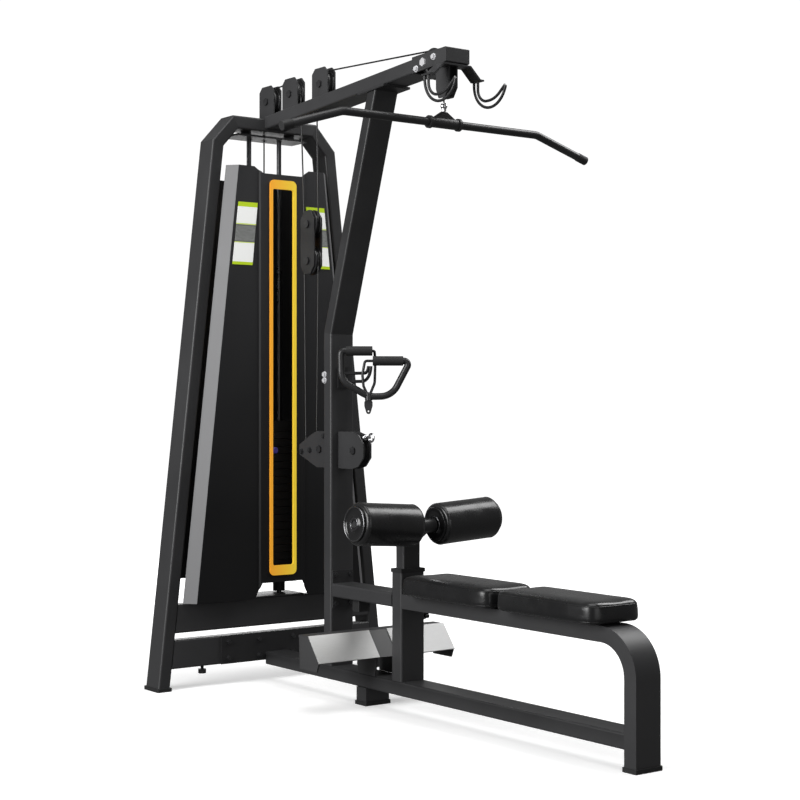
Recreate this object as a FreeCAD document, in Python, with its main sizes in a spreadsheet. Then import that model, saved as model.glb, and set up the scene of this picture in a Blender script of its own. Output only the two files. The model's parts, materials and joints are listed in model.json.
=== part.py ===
import FreeCAD, Part
import math
import os
import re
import Sketcher

# Lat pulldown machine with a mid row station.  Millimetres, +Z up.
# X runs across the machine, -Y runs from the weight tower along the bench.
# Every Y in the sheet is measured from the front face of the tower; origin_y moves
# the whole machine so that the row origin is the bottom centre of its bounding box.

V = FreeCAD.Vector
doc = FreeCAD.newDocument("lat_pulldown")
sheet = doc.addObject("Spreadsheet::Sheet", "dims")

DIMS = {
    "origin_y": 949.0,
    # steel tube used for every frame member
    "tube_w": 50.0, "tube_d": 102.0, "wall": 3.0, "tube_r": 7.0,
    # tower portal
    "top_z": 2200.0, "chamfer_x": 192.0, "shoulder_x": 283.0, "shoulder_z": 2099.0,
    "foot_x": 519.0, "foot_in_x": 469.0, "foot_z": 14.0, "inner_x": 235.0, "inner_z": 2078.0,
    "inner_top_x": 170.0, "inner_top_z": 2150.0, "foot_lip": 5.0,
    # cross pieces behind the stack
    "bar_hi_top": 325.0, "bar_hi_bot": 216.0, "bar_lo_top": 191.0, "bar_lo_bot": 82.0,
    "knob_x": 318.0, "knob_r": 15.0, "knob_z": 52.0, "knob_h": 16.0, "stem_r": 6.0,
    # guide rods and weight stack
    "rod_x": 70.0, "rod_y": 88.0, "rod_r": 9.5, "rod_hole_r": 10.5, "rod_top": 2136.0,
    "rod_bot": 331.0, "rod_plate_x": 130.0, "rod_plate_hi": 136.0,
    "bumper_r": 24.0, "bumper_h": 38.0, "bumper_bot": 337.0,
    "plate_x": 125.0, "plate_y": 48.0, "plate_t": 28.0, "plate_pitch": 30.0, "stack_bot": 375.5,
    "resting": 17.0, "lifted": 3.0, "plate_r": 6.0, "pin_hole_r": 6.0, "pin_r": 5.0,
    "sel_r": 11.0, "sel_hole_r": 12.5, "sel_bot": 379.0, "head_t": 40.0, "stem_z": 1063.0,
    "stem_top_r": 13.0, "pin_z": 899.5, "pin_len": 62.0, "knob_len": 34.0, "pin_knob_r": 13.0,
    # shroud
    "shroud_bot": 327.0, "shroud_top": 2003.0, "shroud_y": -50.0, "panel_y": -44.0, "trim_y": -4.0,
    "sheet_t": 3.0, "rib_x": 100.0, "rib_foot_x": 106.0, "side_bot_x": 380.0, "side_top_x": 196.0,
    "trim_bot_x": 418.0, "trim_top_x": 230.0, "dip_z": 1978.0, "dip_x": 88.0, "dip_top_x": 128.0,
    "cut_z": 388.0, "cut_x": 92.0, "cut_bot_x": 124.0,
    "slot_x": 50.5, "slot_lo": 450.0, "slot_hi": 1924.0, "bezel_x": 61.0, "bezel_lo": 415.0,
    "bezel_hi": 1956.0, "bezel_t": 5.0, "bezel_lip": 2.0, "bezel_r": 20.0, "slot_r": 8.0,
    "rear_y": 151.0, "rear_bot": 405.0, "rear_top": 1965.0, "rear_bot_x": 416.0, "rear_top_x": 240.0,
    "rear_fold": 48.0, "card_t": 2.0,
    "card_hi_out": 198.0, "card_hi_in": 112.0, "card_lo_out": 225.0, "card_lo_in": 136.0,
    "card_hi": 1861.0, "card_lo": 1619.0,
    # top beam: the underside at the tower face, and its rise per millimetre of reach
    "beam_z": 2159.0, "beam_rise": 0.0695, "beam_t": 50.0, "beam_end": 955.0, "housing_end": 1145.0,
    "housing_t": 6.0,
    # pulleys
    "groove_r": 48.0, "wheel_r": 54.0, "wheel_w": 24.0, "cable_r": 3.0, "axle_r": 10.0,
    "bore_r": 10.05, "cheek_in": 14.0, "cheek_t": 5.0, "cheek_r": 61.0, "cheek_cut": 20.0,
    "p1_y": 40.0, "p1_z": 2274.0, "p2_y": -128.0, "p2_z": 2281.0, "p3_y": -336.0, "p3_z": 2288.0,
    "pe_y": -1021.0, "pe_z": 2254.0,
    "fb_y": -252.0, "fb_hi_z": 1768.0, "fb_lo_z": 1628.0, "fb_cheek_r": 46.0,
    "mr_y": -336.0, "mf_y": -557.0, "mid_z": 913.0, "mid_cheek_r": 68.0, "anchor_y": -215.0,
    "head_r": 15.0, "head_h": 7.0,
    # strut and column
    "col_back": -409.0, "col_z": 1341.0, "strut_lean": 0.326,
    # base rail, bench
    "base_bot": 64.0, "base_top": 114.0, "seat_bot": 371.0, "seat_top": 421.0,
    "bench_end": -2044.0, "bend_r": 148.0, "bend_in_r": 98.0, "mid_foot_y": -683.0, "mid_foot_d": 60.0,
    "sleeve_front": -894.0, "sleeve_d": 58.0, "sleeve_top": 494.0, "collar_top": 508.0,
    "post_x": 37.0, "post_d": 46.0, "post_bot": 216.0, "post_top": 668.0, "sleeve_in_x": 38.0,
    "sleeve_in_d": 48.0, "collar_lip": 1.5,
    "roller_z": 662.0, "roller_y": -962.0, "roller_r": 73.0, "roller_in": 48.0, "roller_out": 293.0,
    "roller_end": 302.0, "roller_axle_r": 12.0, "roller_bore_r": 12.6, "cap_r": 60.0,
    "groove_dn": 127.0, "groove_up": 87.0, "knob_clear": 8.0,
    "pad_x": 113.0, "pad_bot": 427.0, "pad_top": 496.0, "pad_r": 26.0, "pad_end_r": 46.0,
    "pad1_lo": -1430.0, "pad1_hi": -956.0, "pad2_lo": -1924.0, "pad2_hi": -1460.0,
    "bracket_x": 68.0, "bracket_w": 66.0,
    # footrest
    "rest_top_y": -682.0, "rest_top_z": 270.0, "rest_bot_y": -750.0, "rest_bot_z": 182.0,
    "rest_x": 300.0, "rest_gap_x": 40.0, "rest_back": 60.0,
    # lat bar
    "bar_r": 14.0, "bar_z": 2043.0, "bar_bend_x": 420.0, "bar_end_x": 652.0, "bar_drop": 71.0,
    "sleeve_r": 18.0, "sleeve_x": 58.0, "collar_r": 20.0, "collar_w": 10.0, "apex_z": 2078.0,
    "grip_r": 15.6, "grip_len": 40.0, "clip_z": 2112.0,
    # hooks and handle
    "hook_x": 107.0, "hook_r": 5.0, "hook_y": -1101.0, "hook_span": 85.0,
    "hook_z": 2178.0, "strap_y": -1104.0, "strap_drop": 46.0,
    "peg_z": 1182.0, "peg_r": 6.0, "peg_tip_z": 1222.0,
    # fasteners and the row cable's end
    "bolt_r": 9.0, "bolt_h": 6.0, "row_y": -592.0, "row_ball_r": 12.0,
}

for row, (name, value) in enumerate(DIMS.items(), start=1):
    sheet.set(f"A{row}", name)
    sheet.set(f"B{row}", str(value))
    sheet.setAlias(f"B{row}", name)
doc.recompute()

NAMES = re.compile(r"\b(?!sqrt\b)[a-z][a-z_0-9]*")
PLANES = {"XY": "XY_Plane", "XZ": "XZ_Plane", "YZ": "YZ_Plane"}
nodes = []


def bound(text):
    """An expression of sheet names, ready to be bound to a property."""
    return NAMES.sub(lambda found: "dims." + found.group(0), str(text))


def value(text):
    """The present value of such an expression."""
    return float(sheet.evalExpression(bound(text)))


def shifted(text):
    """A Y measured from the tower face, moved into the row frame."""
    return f"({text})+origin_y"


def keep(obj, label):
    """Marks an object as one finished sub-part of the machine."""
    obj.Label = label
    nodes.append(obj)
    return obj


def draw(body, plane, loops, offset, tag):
    """A sketch of closed polygons and circles on an origin plane, every point bound to the sheet."""
    sketch = body.newObject("Sketcher::SketchObject", f"{body.Name}_{tag}")
    origin = [item for item in body.Origin.OriginFeatures if item.Role == PLANES[plane]][0]
    sketch.AttachmentSupport = [(origin, "")]
    sketch.MapMode = "FlatFace"
    sketch.setExpression(".AttachmentOffset.Base.z", bound(offset))
    for loop in loops:
        if len(loop) == 3 and not isinstance(loop[0], tuple):
            add_circle(sketch, loop)
        else:
            add_polygon(sketch, loop)
    return sketch


def bind_point(sketch, geo, pos, point):
    """Fixes one sketch point by its two distances from the origin."""
    for kind, axis, text in (("DistanceX", -2, point[0]), ("DistanceY", -1, point[1])):
        amount = value(text)
        if amount == 0.0:
            sketch.addConstraint(Sketcher.Constraint("PointOnObject", geo, pos, axis))
            continue
        index = sketch.addConstraint(Sketcher.Constraint(kind, -1, 1, geo, pos, amount))
        sketch.setExpression(f"Constraints[{index}]", bound(text))


def rect(x_low, y_low, x_high, y_high):
    """A rectangular loop for a sketch."""
    return [(x_low, y_low), (x_high, y_low), (x_high, y_high), (x_low, y_high)]


def add_polygon(sketch, points):
    first = sketch.GeometryCount
    count = len(points)
    flat = [V(value(x), value(y), 0) for x, y in points]
    for i in range(count):
        sketch.addGeometry(Part.LineSegment(flat[i], flat[(i + 1) % count]), False)
    for i in range(count):
        joined = first + (i + 1) % count
        sketch.addConstraint(Sketcher.Constraint("Coincident", first + i, 2, joined, 1))
    for i in range(count):
        bind_point(sketch, first + i, 1, points[i])


def add_circle(sketch, circle):
    x, y, radius = circle
    geo = sketch.addGeometry(Part.Circle(V(value(x), value(y), 0), V(0, 0, 1), value(radius)), False)
    bind_point(sketch, geo, 3, (x, y))
    index = sketch.addConstraint(Sketcher.Constraint("Radius", geo, value(radius)))
    sketch.setExpression(f"Constraints[{index}]", bound(radius))


def new_body(name):
    body = doc.addObject("PartDesign::Body", name)
    body.setExpression(".Placement.Base.y", bound("origin_y"))
    return body


def pad(body, plane, loops, low, high, tag="pad"):
    """Extrudes loops from low to high along the plane's own axis (X, Y or Z)."""
    start = f"-({high})" if plane == "XZ" else low
    sketch = draw(body, plane, loops, start, tag)
    feature = body.newObject("PartDesign::Pad", f"{body.Name}_{tag}_f")
    feature.Profile = sketch
    feature.setExpression("Length", bound(f"({high})-({low})"))
    doc.recompute()
    return feature


def pocket(body, plane, loops, low, high, tag="cut"):
    """Removes loops from low to high along the plane's own axis, and makes sure that it cut."""
    before = body.Shape.Volume
    start = f"-({high})" if plane == "XZ" else low
    sketch = draw(body, plane, loops, start, tag)
    feature = body.newObject("PartDesign::Pocket", f"{body.Name}_{tag}_f")
    feature.Profile = sketch
    feature.Reversed = True
    feature.setExpression("Length", bound(f"({high})-({low})"))
    doc.recompute()
    if body.Shape.Volume >= before:
        raise RuntimeError(f"{feature.Name} cut nothing")
    return feature


def round_edges(body, radius, chosen, tag="fillet"):
    """Rounds the edges that chosen() accepts."""
    base = body.Tip
    names = [f"Edge{i}" for i, edge in enumerate(base.Shape.Edges, start=1) if chosen(edge)]
    feature = body.newObject("PartDesign::Fillet", f"{body.Name}_{tag}")
    feature.Base = (base, names)
    feature.setExpression("Radius", bound(radius))
    doc.recompute()
    return feature


def hollow(body, is_open):
    """Turns a bar into a tube: the faces that is_open() accepts are left open."""
    base = body.Tip
    names = [f"Face{i}" for i, face in enumerate(base.Shape.Faces, start=1) if is_open(face)]
    feature = body.newObject("PartDesign::Thickness", f"{body.Name}_hollow")
    feature.Base = (base, names)
    feature.setExpression("Value", bound("wall"))
    feature.Reversed = True
    feature.Join = 1
    doc.recompute()
    return feature


def along(axis, shortest=0.0):
    """Chooses straight edges that run along an axis."""
    def chosen(edge):
        if edge.Length < shortest or len(edge.Vertexes) < 2:
            return False
        run = edge.Vertexes[1].Point.sub(edge.Vertexes[0].Point)
        return run.Length > 0 and abs(run.dot(axis)) > 0.999 * run.Length
    return chosen


def in_plane(axis, shortest):
    """Chooses long straight edges at right angles to an axis."""
    def chosen(edge):
        if edge.Length < shortest or len(edge.Vertexes) < 2:
            return False
        run = edge.Vertexes[1].Point.sub(edge.Vertexes[0].Point)
        return abs(run.dot(axis)) < 0.001 * run.Length
    return chosen


def facing(axis, side=None):
    """Chooses flat faces whose outward normal lies along an axis."""
    def chosen(face):
        normal = face.normalAt(0, 0)
        amount = normal.dot(axis)
        return amount * side > 0.999 if side else abs(amount) > 0.999
    return chosen


X_AXIS, Y_AXIS, Z_AXIS = V(1, 0, 0), V(0, 1, 0), V(0, 0, 1)


def block(name, low, high):
    """A box between two corners."""
    box = doc.addObject("Part::Box", name)
    texts = (low[0], shifted(low[1]), low[2])
    for prop, text, axis in zip(("Length", "Width", "Height"), texts, range(3)):
        box.setExpression(prop, bound(f"({high[axis]})-({low[axis]})"))
        box.setExpression(f".Placement.Base.{'xyz'[axis]}", bound(text))
    return box


ROD_TURN = {
    "X": FreeCAD.Rotation(Y_AXIS, 90), "Y": FreeCAD.Rotation(X_AXIS, -90), "Z": FreeCAD.Rotation(),
}


def rod(name, start, axis, length, radius):
    """A cylinder from a point along +X, +Y or +Z."""
    item = doc.addObject("Part::Cylinder", name)
    item.Placement = FreeCAD.Placement(V(), ROD_TURN[axis])
    item.setExpression("Radius", bound(radius))
    item.setExpression("Height", bound(length))
    for letter, text in zip("xyz", (start[0], shifted(start[1]), start[2])):
        item.setExpression(f".Placement.Base.{letter}", bound(text))
    return item


def group(name, parts):
    item = doc.addObject("Part::Compound", name)
    item.Links = parts
    return item


def fuse(name, parts):
    item = doc.addObject("Part::MultiFuse", name)
    item.Shapes = parts
    item.Refine = True
    return item


def cut(name, base, tools):
    item = doc.addObject("Part::Cut", name)
    item.Base = base
    item.Tool = tools[0] if len(tools) == 1 else fuse(name + "_tools", tools)
    return item


def round_box(name, base, radius, chosen):
    """Rounds chosen edges of a Part object."""
    doc.recompute()
    item = doc.addObject("Part::Fillet", name)
    item.Base = base
    size = value(radius)
    item.Edges = [(i, size, size) for i, edge in enumerate(base.Shape.Edges, start=1) if chosen(edge)]
    return item


def point(x, y, z):
    """A point in the row frame, from sheet expressions."""
    return V(value(x), value(shifted(y)), value(z))


def corner(before, at, after, radius):
    """The two tangent points and the middle of an arc that rounds one corner of a path."""
    back = before.sub(at).normalize()
    ahead = after.sub(at).normalize()
    half = math.acos(max(-1.0, min(1.0, back.dot(ahead)))) / 2.0
    reach = radius / math.tan(half)
    middle = back.add(ahead).normalize()
    centre = at.add(middle * (radius / math.sin(half)))
    return at.add(back * reach), centre.sub(middle * radius), at.add(ahead * reach)


def swept(path, radius):
    """A round bar along straight runs joined by tangent arcs: path is [(point, corner radius)]."""
    edges = []
    last = path[0][0]
    for i in range(1, len(path) - 1):
        start, mid, end = corner(path[i - 1][0], path[i][0], path[i + 1][0], path[i][1])
        if start.distanceToPoint(last) > 1e-6:
            edges.append(Part.LineSegment(last, start).toShape())
        edges.append(Part.Arc(start, mid, end).toShape())
        last = end
    if last.distanceToPoint(path[-1][0]) > 1e-6:
        edges.append(Part.LineSegment(last, path[-1][0]).toShape())
    return sweep_wire(edges, radius)


def sweep_wire(edges, radius):
    """Sweeps a circle along connected edges and makes sure that the volume is right."""
    wire = Part.Wire(edges)
    start = wire.Edges[0].Vertexes[0].Point
    tangent = wire.Edges[0].tangentAt(wire.Edges[0].FirstParameter)
    circle = Part.Wire(Part.Circle(start, tangent, radius).toShape())
    solid = wire.makePipeShell([circle], True, True)
    expected = math.pi * radius * radius * wire.Length
    if not solid.isValid() or abs(solid.Volume - expected) > 0.01 * expected:
        raise RuntimeError("a swept bar came out wrong")
    return solid


def shape_node(label, shape):
    """A sub-part whose shape comes straight from Part's functions."""
    item = doc.addObject("Part::Feature", label)
    item.Shape = shape
    return keep(item, label)


def flip(side, text):
    """Mirrors an X expression for the left side (-X)."""
    return f"-({text})" if side == "left" else text


SIDES = ("left", "right")

# ---------------------------------------------------------------- tower portal
mitre_line = {"left": V(-22.0, 0, 50.0).normalize(), "right": V(22.0, 0, 50.0).normalize()}
for side in SIDES:
    leg = new_body(f"tower_leg_{side}")
    outline = [("foot_x", "foot_z"), ("shoulder_x", "shoulder_z"), ("chamfer_x", "top_z"),
               ("inner_top_x", "inner_top_z"), ("inner_x", "inner_z"), ("foot_in_x", "foot_z")]
    pad(leg, "XZ", [[(flip(side, x), z) for x, z in outline]], "0", "tube_d")
    inside = [("foot_x-wall", "foot_z-1"), ("shoulder_x-wall", "shoulder_z-wall/2"),
              ("chamfer_x", "top_z-wall"), ("chamfer_x-tube_w", "top_z-wall"),
              ("inner_top_x-tube_w", "inner_top_z+wall"), ("inner_top_x", "inner_top_z+wall"),
              ("inner_x+wall", "inner_z+wall/2"), ("foot_in_x+wall", "foot_z-1")]
    pocket(leg, "XZ", [[(flip(side, x), z) for x, z in inside]], "wall", "tube_d-wall")
    outside = {value("origin_y"), value("origin_y+tube_d")}
    round_edges(leg, "tube_r", lambda edge: in_plane(Y_AXIS, 60.0)(edge) and any(
        abs(edge.Vertexes[0].Point.y + leg.Placement.Base.y - y) < 0.01 for y in outside)
        and not along(mitre_line[side], 40.0)(edge))
    keep(leg, f"tower_leg_{side}")

top_tube = new_body("tower_top_tube")
pad(top_tube, "XZ", [[("-chamfer_x", "top_z"), ("chamfer_x", "top_z"),
                      ("inner_top_x", "inner_top_z"), ("-inner_top_x", "inner_top_z")]], "0", "tube_d")
round_edges(top_tube, "tube_r", along(X_AXIS, 60.0))
hollow(top_tube, lambda face: abs(face.normalAt(0, 0).x) > 0.8)
pocket(top_tube, "XY", [("0", "rod_y", "cable_r+5")], "inner_top_z-1", "top_z+1", "cable_hole")
keep(top_tube, "tower_top_tube")

# The two cross bars fit between the leaning inner faces of the legs.
LEAN_IN = "(foot_in_x-inner_x)/(inner_z-foot_z)"
for label, top, bottom in (("crossbar_upper", "bar_hi_top", "bar_hi_bot"),
                           ("crossbar_lower", "bar_lo_top", "bar_lo_bot")):
    bar = new_body(label)
    wide = f"foot_in_x-({bottom}-foot_z)*{LEAN_IN}"
    narrow = f"foot_in_x-({top}-foot_z)*{LEAN_IN}"
    pad(bar, "XZ", [[(f"-({wide})", bottom), (wide, bottom), (narrow, top), (f"-({narrow})", top)]],
        "0", "tube_w")
    round_edges(bar, "tube_r", along(X_AXIS, 60.0))
    hollow(bar, lambda face: abs(face.normalAt(0, 0).x) > 0.8)
    keep(bar, label)

# ---------------------------------------------------------------- rubber and plastic feet
rubber = []
for side in SIDES:
    sole = round_box(f"sole_{side}", block(
        f"sole_box_{side}",
        (f"{flip(side, 'foot_x')}-foot_lip" + ("" if side == "left" else "-tube_w"), "-foot_lip", "0"),
        (f"{flip(side, 'foot_x')}+foot_lip" + ("+tube_w" if side == "left" else ""),
         "tube_d+foot_lip", "foot_z")), "4.0", along(Z_AXIS))
    rubber.append(sole)
    knob = rod(f"knob_{side}", (flip(side, "knob_x"), "tube_w/2", "knob_z"), "Z", "knob_h", "knob_r")
    stem = rod(f"knob_stem_{side}", (flip(side, "knob_x"), "tube_w/2", "knob_z+knob_h"), "Z",
               "bar_lo_bot-knob_z-knob_h", "stem_r")
    rubber.append(fuse(f"knob_with_stem_{side}", [knob, stem]))
    ring = rod(f"bumper_{side}", (flip(side, "rod_x"), "rod_y", "bumper_bot"), "Z",
               "bumper_h", "bumper_r")
    hole = rod(f"bumper_hole_{side}", (flip(side, "rod_x"), "rod_y", "bumper_bot-1"), "Z",
               "bumper_h+2", "rod_r+0.2")
    rubber.append(cut(f"bumper_ring_{side}", ring, [hole]))
for label, low_y, high_y in (("mid", "mid_foot_y", "mid_foot_y+mid_foot_d"),
                             ("end", "bench_end", "bench_end+tube_w")):
    sole = block(f"sole_box_{label}", ("-tube_d/2-foot_lip", f"{low_y}-foot_lip", "0"),
                 ("tube_d/2+foot_lip", f"{high_y}+foot_lip", "foot_z"))
    rubber.append(round_box(f"sole_{label}", sole, "4.0", along(Z_AXIS)))
low_block = block("low_block", ("-26", "-602", "seat_bot-44"), ("26", "-560", "seat_bot"))
rubber.append(round_box("low_block_round", low_block, "4.0", along(Z_AXIS)))

# ---------------------------------------------------------------- brackets welded to the frame
brackets = []
top_plate = block("rod_top_plate", ("-inner_top_x+8", "20", "rod_top-8"),
                  ("inner_top_x-8", "rod_plate_hi", "rod_top"))
top_holes = [rod(f"rod_top_hole_{side}", (flip(side, "rod_x"), "rod_y", "rod_top-9"),
                 "Z", "10", "rod_r+0.3") for side in SIDES]
cable_hole = rod("stack_cable_hole", ("0", "rod_y", "rod_top-9"), "Z", "10", "cable_r+9")
lugs = [block(f"rod_top_lug_{side}", (flip(side, "100") + "-4", "30", "rod_top"),
              (flip(side, "100") + "+4", "tube_d-8", "inner_top_z")) for side in SIDES]
brackets.append(fuse("rod_top_bracket", [cut("rod_top_cut", top_plate, top_holes + [cable_hole])] + lugs))
base_plate = block("rod_base_plate", ("-rod_plate_x", "0", "rod_bot-6"),
                   ("rod_plate_x", "rod_plate_hi", "rod_bot"))
apron = block("rod_base_apron", ("-rod_plate_x", "tube_w", "bar_hi_bot"),
              ("rod_plate_x", "tube_w+6", "rod_bot-6"))
brackets += [base_plate, apron]

# ---------------------------------------------------------------- guide rods and weight stack
rods = [rod(f"guide_rod_{side}", (flip(side, "rod_x"), "rod_y", "rod_bot"), "Z",
            "rod_top-rod_bot-8", "rod_r") for side in SIDES]
keep(group("guide_rods", rods), "guide_rods")


def weight_plates(name, first, count_text):
    """Loose plates with a hole for each rod, one for the selector rod and one for the pin."""
    body = new_body(name)
    outline = rect("-plate_x", "rod_y-plate_y", "plate_x", "rod_y+plate_y")
    holes = [(x, "rod_y", "rod_hole_r") for x in ("-rod_x", "rod_x")] + [("0", "rod_y", "sel_hole_r")]
    bottom = f"stack_bot+plate_pitch*({first})"
    pad(body, "XY", [outline] + holes, bottom, f"{bottom}+plate_t")
    pocket(body, "XZ", [("0", f"{bottom}+plate_t/2", "pin_hole_r")],
           "rod_y-plate_y-1", "rod_y-sel_hole_r+4", "pin_hole")
    chosen = along(Z_AXIS, 20.0)
    round_edges(body, "plate_r", lambda edge: chosen(edge) and abs(edge.Vertexes[0].Point.x) > 120.0)
    pattern = body.newObject("PartDesign::LinearPattern", f"{name}_pattern")
    axis = [item for item in body.Origin.OriginFeatures if item.Role == "Z_Axis"][0]
    pattern.Originals = [item for item in body.Group if item.TypeId in (
        "PartDesign::Pad", "PartDesign::Pocket", "PartDesign::Fillet")]
    pattern.Direction = (axis, [""])
    pattern.setExpression("Length", bound(f"plate_pitch*({count_text}-1)"))
    pattern.setExpression("Occurrences", bound(count_text))
    body.Tip = pattern
    doc.recompute()
    return keep(body, name)


weight_plates("resting_plates", "0", "resting")
weight_plates("lifted_plates", "resting", "lifted")

HEAD_LOW = "stack_bot+plate_pitch*(resting+lifted)"
head_block = block("head_block", ("-plate_x", "rod_y-plate_y", HEAD_LOW),
                   ("plate_x", "rod_y+plate_y", f"{HEAD_LOW}+head_t"))
head_round = round_box("head_round", head_block, "plate_r", along(Z_AXIS))
head_holes = [rod(f"head_hole_{side}", (flip(side, "rod_x"), "rod_y", f"{HEAD_LOW}-1"),
                  "Z", "head_t+2", "rod_hole_r") for side in SIDES]
selector = rod("selector_rod", ("0", "rod_y", "sel_bot"), "Z", f"{HEAD_LOW}-sel_bot+1", "sel_r")
selector_hole = rod("selector_pin_hole", ("0", "rod_y-sel_r-1", "pin_z"), "Y", "2*sel_r+2", "pin_hole_r")
stem = rod("head_stem", ("0", "rod_y", f"{HEAD_LOW}+head_t-1"),
           "Z", f"stem_z-({HEAD_LOW})-head_t+1", "stem_top_r")
stem_hole = rod("stem_hole", ("0", "rod_y", "stem_z-20"), "Z", "21", "cable_r+0.3")
head = cut("head_cut", fuse("head_solid", [cut("head_bored", head_round, head_holes), selector, stem]),
           [selector_hole, stem_hole])
keep(head, "head_plate")

pin_shaft = rod("pin_shaft", ("0", "rod_y-sel_r-pin_len+20", "pin_z"), "Y", "pin_len", "pin_r")
pin_knob = rod("pin_knob", ("0", "rod_y-sel_r-pin_len+20-knob_len", "pin_z"), "Y", "knob_len", "pin_knob_r")
pin_round = round_box("pin_knob_round", pin_knob, "4.0",
                      lambda edge: edge.Length > 20.0 and len(edge.Vertexes) == 1)
keep(fuse("pin_solid", [pin_shaft, pin_round]), "selector_pin")

# ---------------------------------------------------------------- shroud
def section(z_text, points):
    """A closed wire at one height from (x, y) expressions."""
    flat = [point(x, y, z_text) for x, y in points]
    return Part.makePolygon(flat + flat[:1])


def lofted(low, high, outline):
    """A folded sheet that narrows upwards: outline(at) gives its section at the bottom or the top."""
    wires = [section(low, outline("bot")), section(high, outline("top"))]
    return Part.makeLoft(wires, True, True)


def panel_outline(at):
    """Centre panel with a raised rib: front line left to right, then the back line."""
    side_x = f"side_{at}_x"
    half = [("rib_x", "shroud_y"), ("rib_foot_x", "panel_y"), (side_x, "panel_y")]
    front = [(f"-({x})", y) for x, y in reversed(half)] + half
    back = [(x, f"{y}+sheet_t") for x, y in reversed(front)]
    return front + back


def trim_outline(side):
    def outline(at):
        inner, outer = f"side_{at}_x", f"trim_{at}_x"
        points = [(f"{inner}+0.2", "panel_y"), (outer, "trim_y"), (f"{outer}-sheet_t-1", "trim_y"),
                  (f"{inner}+0.2", "panel_y+sheet_t+1.5")]
        return [(flip(side, x), y) for x, y in points]
    return outline


def rear_outline(at):
    """Rear cover: two folds from the legs' rear faces out to a flat back."""
    wide, narrow = f"rear_{at}_x", f"rear_{at}_x-rear_fold"
    outer = [(wide, "tube_d+0.2"), (narrow, "rear_y")]
    front = [(f"-({x})", y) for x, y in outer] + [(x, y) for x, y in reversed(outer)]
    inner = [(f"{wide}-sheet_t-1.3", "tube_d+0.2"), (f"{narrow}-1.2", "rear_y-sheet_t")]
    return front + inner + [(f"-({x})", y) for x, y in reversed(inner)]


def prism(plane_points, y_low, y_high):
    """A slab along Y cut from an XZ outline."""
    flat = [point(x, y_low, z) for x, z in plane_points]
    face = Part.Face(Part.makePolygon(flat + flat[:1]))
    return face.extrude(V(0, value(f"({y_high})-({y_low})"), 0))


panel = lofted("shroud_bot", "shroud_top", panel_outline)
dip = prism([("-dip_top_x", "shroud_top+1"), ("-dip_x", "dip_z"), ("dip_x", "dip_z"),
             ("dip_top_x", "shroud_top+1")], "shroud_y-5", "0")
notch = prism([("-cut_bot_x", "shroud_bot-1"), ("-cut_x", "cut_z"), ("cut_x", "cut_z"),
               ("cut_bot_x", "shroud_bot-1")], "shroud_y-5", "0")
window = prism([("-slot_x-0.2", "slot_lo-0.2"), ("slot_x+0.2", "slot_lo-0.2"),
                ("slot_x+0.2", "slot_hi+0.2"), ("-slot_x-0.2", "slot_hi+0.2")], "shroud_y-5", "0")
shape_node("shroud_panel", panel.cut(dip).cut(notch).cut(window))

trims = [lofted("shroud_bot", "shroud_top", trim_outline(side)) for side in SIDES]
shape_node("shroud_trims", Part.makeCompound(trims))
shape_node("shroud_rear", lofted("rear_bot", "rear_top", rear_outline))

bezel = new_body("slot_trim")
ring_out = rect("-bezel_x", "bezel_lo", "bezel_x", "bezel_hi")
ring_in = [("-slot_x+wall", "slot_lo+wall"), ("slot_x-wall", "slot_lo+wall"),
           ("slot_x-wall", "slot_hi-wall"), ("-slot_x+wall", "slot_hi-wall")]
lip_out = [("-slot_x", "slot_lo"), ("slot_x", "slot_lo"), ("slot_x", "slot_hi"), ("-slot_x", "slot_hi")]
pad(bezel, "XZ", [ring_out, ring_in], "shroud_y-bezel_t", "shroud_y")
pad(bezel, "XZ", [lip_out, ring_in], "shroud_y-1", "shroud_y+sheet_t+bezel_lip", "lip")
for radius, x_text, tag in (("bezel_r", "bezel_x", "outer"), ("slot_r", "slot_x-wall", "inner")):
    at_x = value(x_text)
    round_edges(bezel, radius, lambda edge: along(Y_AXIS)(edge)
                and abs(abs(edge.Vertexes[0].Point.x) - at_x) < 0.01, tag)
keep(bezel, "slot_trim")

cards = []
for side in SIDES:
    outline = [("card_hi_out", "card_hi"), ("card_hi_in", "card_hi"), ("card_lo_in", "card_lo"),
               ("card_lo_out", "card_lo")]
    cards.append(prism([(flip(side, x), z) for x, z in outline], "panel_y-card_t", "panel_y"))
shape_node("placards", Part.makeCompound(cards))

# ---------------------------------------------------------------- top beam and its end housing
def under(y):
    """Height of the beam's underside at a Y."""
    return f"beam_z-beam_rise*({y})"


def on_side(edge):
    """Long edges that lie on the two X faces of a bar."""
    return in_plane(X_AXIS, 60.0)(edge)


beam = new_body("top_beam")
pad(beam, "YZ", [[("0", under("0")), ("-beam_end", under("-beam_end")),
                  ("-beam_end", under("-beam_end") + "+beam_t"), ("0", under("0") + "+beam_t")]],
    "-tube_d/2", "tube_d/2")
round_edges(beam, "tube_r", on_side)
hollow(beam, facing(Y_AXIS))
for tag, low, high in (("a", "-297", "-282"), ("b", "-188", "-172")):
    pocket(beam, "XY", [rect("-8", low, "8", high)], "beam_z", "beam_z+beam_t+30", f"cable_slot_{tag}")
keep(beam, "top_beam")

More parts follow.
